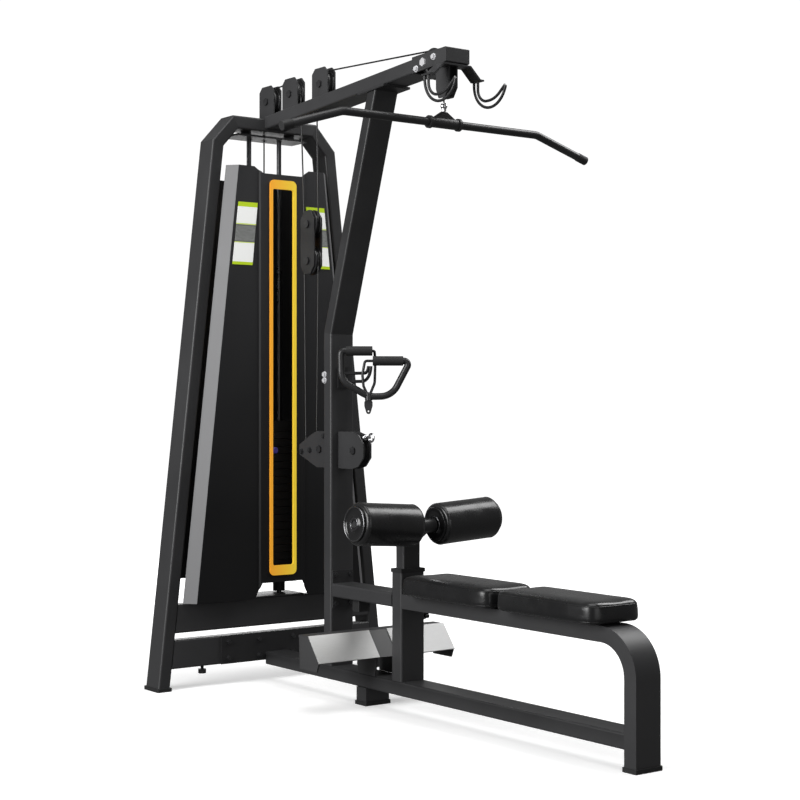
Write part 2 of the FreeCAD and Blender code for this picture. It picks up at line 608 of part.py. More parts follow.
housing = new_body("housing")
pad(housing, "YZ", [[("-beam_end", under("-beam_end")), ("-housing_end", under("-housing_end")),
                     ("-housing_end", under("-housing_end") + "+beam_t"),
                     ("-beam_end", under("-beam_end") + "+beam_t+6")]], "-tube_d/2", "tube_d/2")
pocket(housing, "YZ", [[("-beam_end+1", "beam_z"), ("-1096", "beam_z"), ("-1096", "top_z+200"),
                        ("-beam_end+1", "top_z+200")]], "-tube_d/2+housing_t", "tube_d/2-housing_t", "well")
pocket(housing, "YZ", [[("-1095", under("-1095") + "+housing_t"), ("-1139", under("-1139") + "+housing_t"),
                        ("-1139", under("-1139") + "+beam_t-housing_t"),
                        ("-1095", under("-1095") + "+beam_t-housing_t")]],
       "-tube_d/2+housing_t", "tube_d/2-housing_t", "inner")
pocket(housing, "YZ", [("pe_y", "pe_z", "axle_r+0.05")], "-tube_d", "tube_d", "axle_hole")
round_edges(housing, "wall", lambda edge: along(X_AXIS, 100.0)(edge) and edge.Vertexes[0].Point.y < -1100.0)
guides = []
for tag, low in (("a", "-20"), ("b", "14")):
    cheek = new_body(f"guide_{tag}")
    pad(cheek, "YZ", [[("-1050", under("-1050") + "-0.2"), ("-1050", "2160"), ("-1064", "2128"),
                       ("-1098", "2128"), ("-1120", "2160"), ("-1120", under("-1120") + "-0.2")]],
        low, f"({low})+6")
    guides.append(cheek)
guide_bridge = block("guide_bridge", ("-20", "-1120", under("-1120") + "-7.5"),
                     ("20", "-1096", under("-1120") + "-2.5"))
guide_pin = rod("guide_pin", ("-14", "-1100", "2142"), "X", "28", "5")
guides += [guide_bridge, guide_pin]
keep(fuse("housing_and_guide", [housing, fuse("cable_guide", guides)]), "beam_end_housing")

# ---------------------------------------------------------------- pulley brackets
def cheek_plates(tag, outline, y, z, inner, thick, hole="axle_r+0.05"):
    """A pair of plates, one each side of a wheel, with a hole for its axle."""
    bodies = []
    for side, low in (("left", f"-({inner})-({thick})"), ("right", inner)):
        cheek = new_body(f"cheek_{tag}_{side}")
        pad(cheek, "YZ", [outline, (y, z, hole)], low, f"({low})+({thick})")
        bodies.append(cheek)
    return bodies


def upright(y, z, low_back, low_front):
    """Outline of a plate that stands on the beam and has its top corners cut off."""
    back, front = f"{y}+wheel_r-2", f"{y}-wheel_r+2"
    return [(back, low_back), (back, f"{z}+cheek_r-cheek_cut"), (f"{back}-cheek_cut", f"{z}+cheek_r"),
            (f"{front}+cheek_cut", f"{z}+cheek_r"), (front, f"{z}+cheek_r-cheek_cut"), (front, low_front)]


def over(y):
    """Height of the beam's top face at a Y."""
    return f"beam_z-beam_rise*({y})+beam_t+0.2"


p1_outline = upright("p1_y", "p1_z", "top_z+0.1", over("p1_y-wheel_r+2"))
brackets += cheek_plates("p1", p1_outline + [("0.3", over("0")), ("0.3", "top_z+0.1")],
                         "p1_y", "p1_z", "cheek_in", "cheek_t")
for tag in ("p2", "p3"):
    y, z = f"{tag}_y", f"{tag}_z"
    brackets += cheek_plates(tag, upright(y, z, over(f"{y}+wheel_r-2"), over(f"{y}-wheel_r+2")),
                             y, z, "cheek_in", "cheek_t")

MID_LOW, MID_HIGH = "mid_z-mid_cheek_r", "mid_z+mid_cheek_r"
rear_cheek = [("col_back", MID_LOW), ("col_back", MID_HIGH), ("mr_y+20", MID_HIGH), ("mr_y+62", "mid_z+52"),
              ("anchor_y+18", "mid_z+14"), ("anchor_y+18", "mid_z-22"), ("mr_y+62", "mid_z-52"),
              ("mr_y+20", MID_LOW)]
COL_FRONT = "col_back-tube_w"
front_cheek = [(COL_FRONT, MID_HIGH), (COL_FRONT, MID_LOW), ("mf_y+10", MID_LOW),
               ("mf_y-30", "mid_z-58"), ("mf_y-62", "mid_z-26"), ("mf_y-62", "mid_z+26"),
               ("mf_y-30", "mid_z+58"), ("mf_y+10", MID_HIGH)]
brackets += cheek_plates("mr", rear_cheek, "mr_y", "mid_z", "cheek_in", "cheek_t")
brackets += cheek_plates("mf", front_cheek, "mf_y", "mid_z", "cheek_in", "cheek_t")
keep(group("welded_brackets", brackets), "welded_brackets")

# ---------------------------------------------------------------- pulley wheels
def wheel(label, y, z):
    """A grooved wheel turned about X, with a web thinner than its hub and rim."""
    body = doc.addObject("PartDesign::Body", label)
    body.setExpression(".Placement.Base.y", bound(shifted(y)))
    body.setExpression(".Placement.Base.z", bound(z))
    half, floor = "wheel_w/2", "groove_r-cable_r-0.2"
    right = [(half, "bore_r"), (half, "bore_r+9"), (f"{half}-5", "bore_r+12"), (f"{half}-5", f"{floor}-8"),
             (half, f"{floor}-4"), (half, "wheel_r"), (f"{half}-4", "wheel_r"), ("4", floor)]
    profile = right + [(f"-({x})", radius) for x, radius in reversed(right)]
    sketch = draw(body, "XY", [profile], "0", "turn")
    feature = body.newObject("PartDesign::Revolution", f"{label}_rev")
    feature.Profile = sketch
    axis = [item for item in body.Origin.OriginFeatures if item.Role == "X_Axis"][0]
    feature.ReferenceAxis = (axis, [""])
    feature.Angle = 360.0
    doc.recompute()
    return keep(body, label)


WHEELS = (
    ("pulley_rear", "p1_y", "p1_z"), ("pulley_middle", "p2_y", "p2_z"), ("pulley_front", "p3_y", "p3_z"),
    ("pulley_end", "pe_y", "pe_z"), ("pulley_mid_rear", "mr_y", "mid_z"),
    ("pulley_mid_front", "mf_y", "mid_z"), ("float_wheel_upper", "fb_y", "fb_hi_z"),
    ("float_wheel_lower", "fb_y", "fb_lo_z"))
for label, y, z in WHEELS:
    wheel(label, y, z)

# ---------------------------------------------------------------- floating double block
float_half = [("fb_cheek_r", "fb_lo_z-20"), ("fb_cheek_r", "fb_hi_z+20"), ("20", "fb_hi_z+50")]
float_foot = [("-20", "fb_lo_z-50"), ("20", "fb_lo_z-50")]
float_outline = [(f"fb_y+({y})", z) for y, z in float_half + [(f"-{y}", z) for y, z in reversed(float_half)]
                 + float_foot]
float_parts = []
for side, low in (("left", "-cheek_in-cheek_t"), ("right", "cheek_in")):
    cheek = new_body(f"float_cheek_{side}")
    pad(cheek, "YZ", [float_outline], low, f"({low})+cheek_t")
    float_parts.append(cheek)
for tag in ("hi", "lo"):
    float_parts.append(rod(f"float_axle_{tag}", ("-cheek_in", "fb_y", f"fb_{tag}_z"),
                           "X", "2*cheek_in", "axle_r"))
    for side, start in (("left", "-cheek_in-cheek_t-head_h"), ("right", "cheek_in+cheek_t")):
        float_parts.append(rod(f"float_head_{tag}_{side}", (start, "fb_y", f"fb_{tag}_z"),
                               "X", "head_h", "head_r"))
keep(fuse("float_block_solid", float_parts), "float_block")

# ---------------------------------------------------------------- strut and column
OFFSET = "tube_w*sqrt(1+strut_lean^2)"
MITRE_Z = f"col_z+({OFFSET}-tube_w)/strut_lean"
SEAT_PLATE = "8.0"


def strut_y(face_y):
    """Y at which a strut face meets the plate under the beam."""
    return f"(beam_z-{SEAT_PLATE}-col_z-({face_y})/strut_lean)/(beam_rise-1/strut_lean)"


FRONT_Y, BACK_Y = strut_y(COL_FRONT), strut_y(f"{COL_FRONT}+{OFFSET}")
strut = new_body("strut_tube")
pad(strut, "YZ", [[(COL_FRONT, "col_z"), (FRONT_Y, f"beam_z-beam_rise*({FRONT_Y})-{SEAT_PLATE}"),
                   (BACK_Y, f"beam_z-beam_rise*({BACK_Y})-{SEAT_PLATE}"), ("col_back", MITRE_Z)]],
    "-tube_d/2", "tube_d/2")
round_edges(strut, "tube_r", on_side)
hollow(strut, lambda face: abs(face.normalAt(0, 0).z) > 0.9)
seat_plate = new_body("strut_plate")
PLATE_BACK, PLATE_FRONT = "-640", "-800"
pad(seat_plate, "YZ", [[(PLATE_BACK, under(PLATE_BACK) + "-0.1"), (PLATE_FRONT, under(PLATE_FRONT) + "-0.1"),
                        (PLATE_FRONT, under(PLATE_FRONT) + f"-{SEAT_PLATE}"),
                        (PLATE_BACK, under(PLATE_BACK) + f"-{SEAT_PLATE}")]],
    "-tube_d/2-8", "tube_d/2+8")
keep(fuse("strut_solid", [strut, seat_plate]), "strut")

column = new_body("column")
pad(column, "YZ", [[("col_back", "base_top"), ("col_back", MITRE_Z), (COL_FRONT, "col_z"),
                    (COL_FRONT, "base_top")]], "-tube_d/2", "tube_d/2")
round_edges(column, "tube_r", along(Z_AXIS, 1000.0))
hollow(column, lambda face: abs(face.normalAt(0, 0).z) > 0.9)
pocket(column, "XZ", [[("-12", "mid_z-48"), ("12", "mid_z-48"), ("12", "mid_z+48"), ("-12", "mid_z+48")]],
       f"{COL_FRONT}-1", "col_back+1", "cable_slot")
keep(column, "column")

# ---------------------------------------------------------------- base rail and bench frame
rail = new_body("base_tube")
END_BACK = "bench_end+tube_w"
pad(rail, "YZ", [[("-6", "base_bot"), (END_BACK, "base_bot"), (END_BACK, "base_top"), ("-6", "base_top")]],
    "-tube_d/2", "tube_d/2")
round_edges(rail, "tube_r", along(Y_AXIS, 100.0))
hollow(rail, facing(Y_AXIS))
flange = block("tower_flange", ("-250", "-6", "bar_lo_bot"), ("250", "-0.1", "bar_lo_top"))
mid_leg = block("mid_leg", ("-tube_d/2", "mid_foot_y", "foot_z+0.1"),
                ("tube_d/2", "mid_foot_y+mid_foot_d", "base_bot"))
keep(fuse("base_rail_solid", [rail, flange, mid_leg]), "base_rail")

bench = new_body("seat_frame_front")
pad(bench, "YZ", [[("sleeve_front", "seat_top"), ("bench_end", "seat_top"), ("bench_end", "foot_z+0.1"),
                   (END_BACK, "foot_z+0.1"), (END_BACK, "seat_bot"), ("sleeve_front", "seat_bot")]],
    "-tube_d/2", "tube_d/2")
BENCH_Y = value("bench_end")


def at_corner(y_text, z_text):
    """Chooses the X edge that passes through one corner of the bench outline."""
    y, z = value(y_text), value(z_text)

    def chosen(edge):
        spot = edge.Vertexes[0].Point
        return along(X_AXIS, 50.0)(edge) and abs(spot.y - y) < 0.1 and abs(spot.z - z) < 0.1
    return chosen


inside = [("sleeve_front+1", "seat_top-wall"), ("bench_end+wall", "seat_top-wall"),
          ("bench_end+wall", "foot_z-1"), (f"{END_BACK}-wall", "foot_z-1"),
          (f"{END_BACK}-wall", "seat_bot+wall"), ("sleeve_front+1", "seat_bot+wall")]
pocket(bench, "YZ", [inside], "-tube_d/2+wall", "tube_d/2-wall", "hollow")
round_edges(bench, "bend_r-wall", at_corner("bench_end+wall", "seat_top-wall"), "outer_hollow")
round_edges(bench, "bend_in_r+wall", at_corner(f"{END_BACK}-wall", "seat_bot+wall"), "inner_hollow")
round_edges(bench, "bend_r", at_corner("bench_end", "seat_top"), "outer_bend")
round_edges(bench, "bend_in_r", at_corner(END_BACK, "seat_bot"), "inner_bend")
keep(bench, "seat_frame_front")

SLEEVE_BACK = "sleeve_front+sleeve_d"
link = new_body("link_tube")
pad(link, "YZ", [[(f"{COL_FRONT}-6", "seat_bot"), (SLEEVE_BACK, "seat_bot"), (SLEEVE_BACK, "seat_top"),
                  (f"{COL_FRONT}-6", "seat_top")]], "-tube_d/2", "tube_d/2")
round_edges(link, "tube_r", along(Y_AXIS, 100.0))
hollow(link, facing(Y_AXIS))
link_flange = block("column_flange", ("-46", f"{COL_FRONT}-6", "330"), ("46", f"{COL_FRONT}-0.1", "468"))
keep(fuse("seat_rail_solid", [link, link_flange]), "seat_rail_rear")

POST_Y = "sleeve_front+sleeve_d/2"
sleeve = new_body("post_sleeve")
pad(sleeve, "XY", [[("-tube_d/2", "sleeve_front"), ("tube_d/2", "sleeve_front"), ("tube_d/2", SLEEVE_BACK),
                    ("-tube_d/2", SLEEVE_BACK)]], "base_top", "sleeve_top")
round_edges(sleeve, "tube_r", along(Z_AXIS, 100.0))
SLEEVE_BORE = rect("-sleeve_in_x", f"{POST_Y}-sleeve_in_d/2", "sleeve_in_x", f"{POST_Y}+sleeve_in_d/2")
pocket(sleeve, "XY", [SLEEVE_BORE], "base_top+10", "sleeve_top+1", "bore")
PIN_Z = "sleeve_top-150"
pocket(sleeve, "YZ", [(POST_Y, PIN_Z, "pin_hole_r")], "sleeve_in_x-1", "tube_d/2+1", "pin_hole")
keep(sleeve, "post_sleeve")

# ---------------------------------------------------------------- thigh post and rollers
TILT = 3.6
post = new_body("post_bar")
pad(post, "XY", [rect("-post_x", f"{POST_Y}-post_d/2", "post_x", f"{POST_Y}+post_d/2")],
    "post_bot", "post_top")
round_edges(post, "tube_r-2", along(Z_AXIS, 100.0))
hollow(post, facing(Z_AXIS, -1))
pocket(post, "YZ", [rect(f"{POST_Y}-pin_hole_r", f"{PIN_Z}-groove_dn", f"{POST_Y}+pin_hole_r",
                         f"{PIN_Z}+groove_up")], "post_x-wall-1", "post_x+1", "groove")
post_front = f"{POST_Y}-post_d/2"
arm = new_body("roller_arm")
pad(arm, "YZ", [[(post_front, "post_top-70"), (post_front, "post_top"), ("roller_y+8", "roller_z+22"),
                 ("roller_y-20", "roller_z+14"), ("roller_y-20", "roller_z-14"),
                 ("roller_y+8", "roller_z-22")]],
    "-24", "24")
hub = rod("roller_hub", ("-36", "roller_y", "roller_z"), "X", "72", "24")


def axle_line(side):
    """Direction of a roller axle, tilted up and outwards."""
    sign = -1.0 if side == "left" else 1.0
    return V(sign * math.cos(math.radians(TILT)), 0, math.sin(math.radians(TILT)))


axles = []
for side in SIDES:
    axle = doc.addObject("Part::Cylinder", f"roller_axle_{side}")
    axle.setExpression("Radius", bound("roller_axle_r"))
    axle.setExpression("Height", bound("roller_end-3"))
    axle.Placement = FreeCAD.Placement(point("0", "roller_y", "roller_z"),
                                       FreeCAD.Rotation(Z_AXIS, axle_line(side)))
    axles.append(axle)
keep(fuse("thigh_post_solid", [post, arm, hub] + axles), "thigh_post")


def on_axle(name, side, start, length, outer, bore):
    """A ring on one of the two tilted roller axles."""
    line = axle_line(side)
    place = FreeCAD.Placement(point("0", "roller_y", "roller_z").add(line * value(start)),
                              FreeCAD.Rotation(Z_AXIS, line))
    solid = doc.addObject("Part::Cylinder", f"{name}_{side}")
    hole = doc.addObject("Part::Cylinder", f"{name}_bore_{side}")
    for item, size in ((solid, outer), (hole, bore)):
        item.setExpression("Radius", bound(size))
        item.setExpression("Height", bound(length))
    ring = cut(f"{name}_ring_{side}", solid, [hole])
    ring.Placement = place
    return ring


for side in SIDES:
    foam = on_axle("foam", side, "roller_in", "roller_out-roller_in", "roller_r", "roller_bore_r")
    keep(foam, f"roller_{side}")
    caps = [on_axle("inner_cap", side, "roller_in-7", "6.5", "cap_r", "roller_axle_r+0.08"),
            on_axle("outer_cap", side, "roller_out+0.5", "roller_end-roller_out-0.5", "cap_r",
                    "roller_axle_r+0.08")]
    keep(group(f"roller_cap_group_{side}", caps), f"roller_caps_{side}")

KNOB_X = "tube_d/2+knob_clear"
screw = rod("knob_screw", ("post_x-12", POST_Y, PIN_Z), "X", f"{KNOB_X}-post_x+13", "pin_r")
knob_hub = rod("knob_hub", (KNOB_X, POST_Y, PIN_Z), "X", "22", "15")
lobes = []
for index in range(5):
    turn = math.radians(72.0 * index)
    lobes.append(rod(f"knob_lobe_{index}", (f"{KNOB_X}+2", f"{POST_Y}+{16 * math.cos(turn)}",
                                            f"{PIN_Z}+{16 * math.sin(turn)}"), "X", "18", "8"))
keep(fuse("clamp_knob_solid", [screw, knob_hub] + lobes), "clamp_knob")

# ---------------------------------------------------------------- seat pads and their brackets
upright = along(Z_AXIS, 30.0)
for label, low, high in (("seat_pad_inner", "pad1_lo", "pad1_hi"),
                         ("seat_pad_outer", "pad2_lo", "pad2_hi")):
    cushion = new_body(label)
    pad(cushion, "XY", [rect("-pad_x", low, "pad_x", high)], "pad_bot", "pad_top")
    middle = (value(low) + value(high)) / 2.0
    round_edges(cushion, "pad_r", lambda edge: upright(edge) and edge.Vertexes[0].Point.y > middle)
    round_edges(cushion, "pad_end_r", lambda edge: upright(edge) and edge.Vertexes[0].Point.y < middle,
                "end_fillet")
    round_edges(cushion, "pad_r/2", lambda edge: edge.Vertexes[0].Point.z > value("pad_top") - 0.01
                and edge.Vertexes[-1].Point.z > value("pad_top") - 0.01, "crown")
    keep(cushion, label)

plates = []
for tag, y in (("near", "pad1_hi-60"), ("inner", "pad1_lo+90"), ("outer", "pad2_hi-60"), ("end", "pad2_lo+90")):
    plates.append(block(f"cross_{tag}", ("-bracket_x", f"{y}-bracket_w/2", "seat_top+0.1"),
                        ("bracket_x", f"{y}+bracket_w/2", "pad_bot-0.4")))
keep(group("seat_brackets", plates), "seat_brackets")

# ---------------------------------------------------------------- footrest
rest = []
deck = new_body("rest_deck")
pad(deck, "YZ", [[("rest_bot_y", "rest_bot_z"), ("rest_top_y", "rest_top_z"),
                  ("rest_top_y+rest_back", "rest_top_z"), ("rest_top_y+rest_back", "rest_top_z-8"),
                  ("rest_top_y+6", "rest_top_z-8"), ("rest_bot_y+8", "rest_bot_z-3")]], "-rest_x", "rest_x")
rest.append(deck)
for tag, low in (("a", "-rest_x"), ("b", "-tube_d/2"), ("c", "tube_d/2-6"), ("d", "rest_x-6")):
    side_plate = new_body(f"rest_side_{tag}")
    foot = "base_top+0.1" if tag in "bc" else "rest_bot_z-30"
    pad(side_plate, "YZ", [[("rest_bot_y+2", "rest_bot_z"), ("rest_top_y+1", "rest_top_z-2"),
                            ("rest_top_y+rest_back-2", "rest_top_z-2"), ("rest_top_y+rest_back-8", foot),
                            ("rest_bot_y+14", foot)]], low, f"({low})+6")
    rest.append(side_plate)
keep(fuse("footrest_solid", rest), "footrest_body")

treads = []
for side in SIDES:
    tread = new_body(f"tread_{side}")
    low, high = ("-rest_x", "-rest_gap_x") if side == "left" else ("rest_gap_x", "rest_x")
    pad(tread, "YZ", [[("rest_bot_y-0.1", "rest_bot_z+0.1"), ("rest_top_y-0.1", "rest_top_z+0.1"),
                       ("rest_top_y-2.5", "rest_top_z+2"), ("rest_bot_y-2.5", "rest_bot_z+2")]], low, high)
    treads.append(tread)
keep(group("treads", treads), "footrest_treads")

# ---------------------------------------------------------------- lat bar
CORD_Y = "pe_y-groove_r"
BEND_R = 70.0
bar_path = [(point("-bar_end_x", CORD_Y, "bar_z-bar_drop"), 0),
            (point("-bar_bend_x", CORD_Y, "bar_z"), BEND_R),
            (point("bar_bend_x", CORD_Y, "bar_z"), BEND_R),
            (point("bar_end_x", CORD_Y, "bar_z-bar_drop"), 0)]
bar_shape = swept(bar_path, value("bar_r"))
gusset = Part.Face(Part.makePolygon([
    point("-sleeve_x", f"{CORD_Y}-4", "bar_z+10"), point("sleeve_x", f"{CORD_Y}-4", "bar_z+10"),
    point("12", f"{CORD_Y}-4", "apex_z+4"), point("-12", f"{CORD_Y}-4", "apex_z+4"),
    point("-sleeve_x", f"{CORD_Y}-4", "bar_z+10")])).extrude(V(0, 8, 0))
tube = Part.makeCylinder(value("sleeve_r"), value("2*sleeve_x"),
                         point("-sleeve_x", CORD_Y, "bar_z"), X_AXIS)
collars = [Part.makeCylinder(value("collar_r+2"), value("collar_w"),
                             point(x, CORD_Y, "bar_z"), X_AXIS) for x in ("-sleeve_x-collar_w", "sleeve_x")]
shape_node("lat_bar", bar_shape.multiFuse([gusset, tube] + collars).removeSplitter())

grips = []
for sign in (-1.0, 1.0):
    tip = point(f"{sign}*bar_end_x", CORD_Y, "bar_z-bar_drop")
    bend = point(f"{sign}*bar_bend_x", CORD_Y, "bar_z")
    inward = bend.sub(tip).normalize()
    outer = Part.makeCylinder(value("grip_r"), value("grip_len"), tip.sub(inward * 5.0), inward)
    core = Part.makeCylinder(value("bar_r+0.1"), value("grip_len"), tip.sub(inward * 0.1), inward)
    grips.append(outer.cut(core))
shape_node("lat_bar_grips", Part.makeCompound(grips))

clip_body = rod("clip_body", ("0", CORD_Y, "apex_z+6"), "Z", "clip_z-apex_z-6", "8")
clip_ball = doc.addObject("Part::Sphere", "clip_ball")
clip_ball.setExpression("Radius", bound("cable_r*4"))
for letter, text in zip("xyz", ("0", shifted(CORD_Y), "clip_z-10")):
    clip_ball.setExpression(f".Placement.Base.{letter}", bound(text))
keep(fuse("clip_solid", [clip_body, clip_ball]), "lat_clip")

# ---------------------------------------------------------------- hooks
def ring_points(y, z, radius, degrees, x):
    """A point on a circle in a YZ plane, 0 degrees toward +Y and 90 toward +Z."""
    angle = math.radians(degrees)
    return point(x, f"({y})+({radius})*{math.cos(angle)}", f"({z})+({radius})*{math.sin(angle)}")


def hooked(x, start_y, start_z, y, z, radius, last):
    """A straight drop followed by an arc that curls forward."""
    first = ring_points(y, z, radius, 0.0, x)
    edges = []
    begin = point(x, start_y, start_z)
    if begin.distanceToPoint(first) > 1.0:
        edges.append(Part.LineSegment(begin, first).toShape())
    edges.append(Part.Arc(first, ring_points(y, z, radius, last / 2.0, x),
                          ring_points(y, z, radius, last, x)).toShape())
    return sweep_wire(edges, value("hook_r"))


hooks = []
strap_top, strap_low = under("strap_y"), f"({under('strap_y')})-strap_drop"
strap_line = [("-hook_x-9", f"{strap_low}-2"), ("-hook_x+9", f"{strap_low}-2"), ("-56", f"({strap_top})-6.9"),
              ("56", f"({strap_top})-6.9"), ("hook_x-9", f"{strap_low}-2"), ("hook_x+9", f"{strap_low}-2"),
              ("hook_x+9", f"{strap_low}+4"), ("hook_x-6", f"{strap_low}+4"), ("58", f"({strap_top})-0.9"),
              ("-58", f"({strap_top})-0.9"), ("-hook_x+6", f"{strap_low}+4"), ("-hook_x-9", f"{strap_low}+4")]
for side in SIDES:
    x = flip(side, "hook_x")
    outer = hooked(x, "hook_y", strap_low, "hook_y-hook_span", "hook_z", "hook_span", -165.0)
    inner = swept([(point(x, "hook_y-21", strap_low), 0), (point(x, "hook_y-21", "hook_z-61"), 47.0),
                   (point(x, "hook_y-110", "hook_z-61"), 95.0),
                   (point(x, "hook_y-165", "hook_z-19"), 0)], value("hook_r"))
    hooks.append(outer.fuse(inner))
strap = prism(strap_line, "hook_y-44", "hook_y+8")
guide_gap = Part.makeBox(41, 28, 20, point("-20.5", "-1120.5", f"{strap_top}-12"))
shape_node("bar_hooks", strap.cut(guide_gap).multiFuse(hooks))

peg_edges = []
for z, reach in (("peg_z+14", "26"), ("peg_z-16", "56")):
    turn = f"{COL_FRONT}-150"
    path = [(point("0", f"{COL_FRONT}-5", z), 0),
            (point("0", f"{turn}-({reach})/2", z), value(f"{reach}-2")),
            (point("0", f"{turn}-({reach})/2-4", "peg_tip_z-1"), 0)]
    peg_edges.append(swept(path, value("peg_r")))
peg_plate = Part.makeBox(44, 6, 76, point("-22", f"{COL_FRONT}-6.1", "peg_z-38"))
shape_node("storage_hook", peg_plate.multiFuse(peg_edges))

# ---------------------------------------------------------------- close-grip handle
HANDLE_Y = "-626"
SWING = FreeCAD.Rotation(V(0, 0, 1), -33.0)


def hung(u, z, back=0.0):
    """A point of the handle: u runs along its width, turned about the hook, and back goes behind it."""
    centre = point("0", HANDLE_Y, "0")
    return centre.add(SWING.multVec(V(u, back, 0))).add(V(0, 0, z))


bow = [(hung(-80, 1276), 0), (hung(-101, 1276), 14.0), (hung(-98, 1168), 60.0), (hung(0, 1110), 90.0),
       (hung(85, 1112), 70.0), (hung(152, 1240), 14.0), (hung(124, 1240), 0)]
back_rod = [(hung(6, 1276), 0), (hung(22, 1276, 6), 6.0), (hung(26, 1244, 26), 12.0),
            (hung(24, 1160, 26), 30.0), (hung(3, 1112, 2), 0)]
front_rod = [(hung(20, 1240), 0), (hung(-13, 1240), 10.0), (hung(-22, 1190), 30.0), (hung(-18, 1148), 20.0),
             (hung(-1, 1112), 0)]
joint = Part.makeCylinder(14, 24, hung(1, 1097), V(0, 0, 1))
clip_line = [(-9, 1102), (-15, 1090), (-15, 1076), (-8, 1052), (-4, 1047)]
clip_line += [(-u, z) for u, z in reversed(clip_line)]
clip_face = Part.Face(Part.makePolygon([hung(u, z, -4) for u, z in clip_line + clip_line[:1]]))
clip_plate = clip_face.extrude(SWING.multVec(V(0, 8, 0)))
clip_hole = Part.makeCylinder(3, 10, hung(0, 1057, -5), SWING.multVec(Y_AXIS))
frame_parts = [swept(back_rod, 5.0), swept(front_rod, 5.0), joint, clip_plate.cut(clip_hole)]
handle_frame = swept(bow, 12.5).multiFuse(frame_parts)
shape_node("v_handle_frame", handle_frame)
grip_pair = [Part.makeCylinder(17.5, length, hung(u, z), SWING.multVec(X_AXIS)).cut(handle_frame)
             for u, z, length in ((-82, 1276, 96), (16, 1240, 110))]
shape_node("v_handle_grips", Part.makeCompound(grip_pair))

# ---------------------------------------------------------------- cables
def round_wheels(stations, ends):
    """Corners of a cable that wraps wheels of groove_r: each station is (y, z) of a sharp corner."""
    radius = value("groove_r")
    inner = [(V(0, y, z), radius) for y, z in stations]
    return [(point("0", *ends[0]), 0)] + inner + [(point("0", *ends[1]), 0)]


def tangent_corner(y_line, first, second):
    """Where the line over the tops of two equal wheels meets a vertical line at y_line."""
    a, b = point("0", *first), point("0", *second)
    run = b.sub(a).normalize()
    lift = V(0, -run.z, run.y) if run.y > 0 else V(0, run.z, -run.y)
    start = a.add(lift * value("groove_r"))
    y = value(shifted(y_line))
    return y, start.z + (y - start.y) * run.z / run.y


END_PAIR = (("pe_y", "pe_z"), ("p3_y", "p3_z"))
REAR_PAIR = (("p2_y", "p2_z"), ("p1_y", "p1_z"))
runs = []
for pair, first_y, last_y, last_z in ((END_PAIR, CORD_Y, "p3_y+groove_r", "p2_z"),
                                      (REAR_PAIR, "p2_y-groove_r", "p1_y+groove_r", "p1_z")):
    corners = [tangent_corner(y, *pair) for y in (first_y, last_y)]
    ends = ((first_y, pair[0][1]), (last_y, last_z))
    runs.append(swept(round_wheels(corners, ends), value("cable_r")))
half_gap = value("mr_y-mf_y") / 2.0
slope = math.tan(math.asin(value("groove_r") / half_gap))
middle_y, middle_z = value(shifted("(mr_y+mf_y)/2")), value("mid_z")
drop_y, over_z = value(shifted("mr_y+groove_r")), value("mid_z+groove_r")
row_corners = [(drop_y, middle_z - (drop_y - middle_y) * slope),
               (middle_y - value("groove_r") / slope, over_z)]
runs.append(swept(round_wheels(row_corners, (("mr_y+groove_r", "mid_z"), ("row_y", "mid_z+groove_r"))),
                  value("cable_r")))
shape_node("cable_runs", Part.makeCompound(runs))


def strand(name, y_low, z_low, y_high, z_high):
    """A straight length of cable, a hair short of the cable that carries on at each end."""
    low, high = point("0", y_low, f"{z_low}+0.3"), point("0", y_high, f"{z_high}-0.3")
    return Part.makeCylinder(value("cable_r"), high.distanceToPoint(low), low, high.sub(low))


shape_node("lat_cable_drop", strand("lat", CORD_Y, "clip_z+2.1", CORD_Y, "pe_z"))
shape_node("stack_cable", strand("stack", "rod_y", "stem_z", "rod_y", "p1_z"))
shape_node("float_strands_upper", Part.makeCompound([
    strand("a", "fb_y-groove_r", "fb_hi_z", "p3_y+groove_r", "p2_z"),
    strand("b", "fb_y+groove_r", "fb_hi_z", "p2_y-groove_r", "p2_z")]))
shape_node("float_strands_lower", Part.makeCompound([
    strand("a", "mr_y+groove_r", "mid_z", "fb_y-groove_r", "fb_lo_z"),
    strand("b", "anchor_y", "mid_z", "fb_y+groove_r", "fb_lo_z")]))
loops = []
for z, sense in (("fb_hi_z", -1.0), ("fb_lo_z", 1.0)):
    arc = Part.Arc(point("0", "fb_y-groove_r", z), point("0", "fb_y", f"{z}+({sense})*groove_r"),
                   point("0", "fb_y+groove_r", z))
    loops.append(sweep_wire([arc.toShape()], value("cable_r")))
shape_node("float_cable_loops", Part.makeCompound(loops))

row_ball = doc.addObject("Part::Sphere", "row_ball")
row_ball.setExpression("Radius", bound("row_ball_r"))
for letter, text in zip("xyz", ("0", shifted("row_y-row_ball_r"), "mid_z+groove_r")):
    row_ball.setExpression(f".Placement.Base.{letter}", bound(text))
row_eye = rod("row_eye", ("0", "row_y-2*row_ball_r-18", "mid_z+groove_r"), "Y", "24", "row_ball_r/2")
row_ring = doc.addObject("Part::Torus", "row_ring")
row_ring.setExpression("Radius1", bound("row_ball_r+2"))
row_ring.setExpression("Radius2", bound("pin_r-1"))
row_ring.Placement = FreeCAD.Placement(point("0", "row_y-2*row_ball_r-28", "mid_z+groove_r"),
                                       FreeCAD.Rotation(Y_AXIS, 90))
keep(fuse("row_end_solid", [row_ball, row_eye, row_ring]), "row_end")

# ---------------------------------------------------------------- axles and bolts
def hexagon(name, start, axis, length, radius):
    """A six-sided head along +X, +Y or +Z."""
    item = doc.addObject("Part::Prism", name)
    item.Polygon = 6
    item.Placement = FreeCAD.Placement(V(), ROD_TURN[axis])
    item.setExpression("Circumradius", bound(radius))
    item.setExpression("Height", bound(length))
    for letter, text in zip("xyz", (start[0], shifted(start[1]), start[2])):
        item.setExpression(f".Placement.Base.{letter}", bound(text))
    return item


WASHER_T = "1.8"


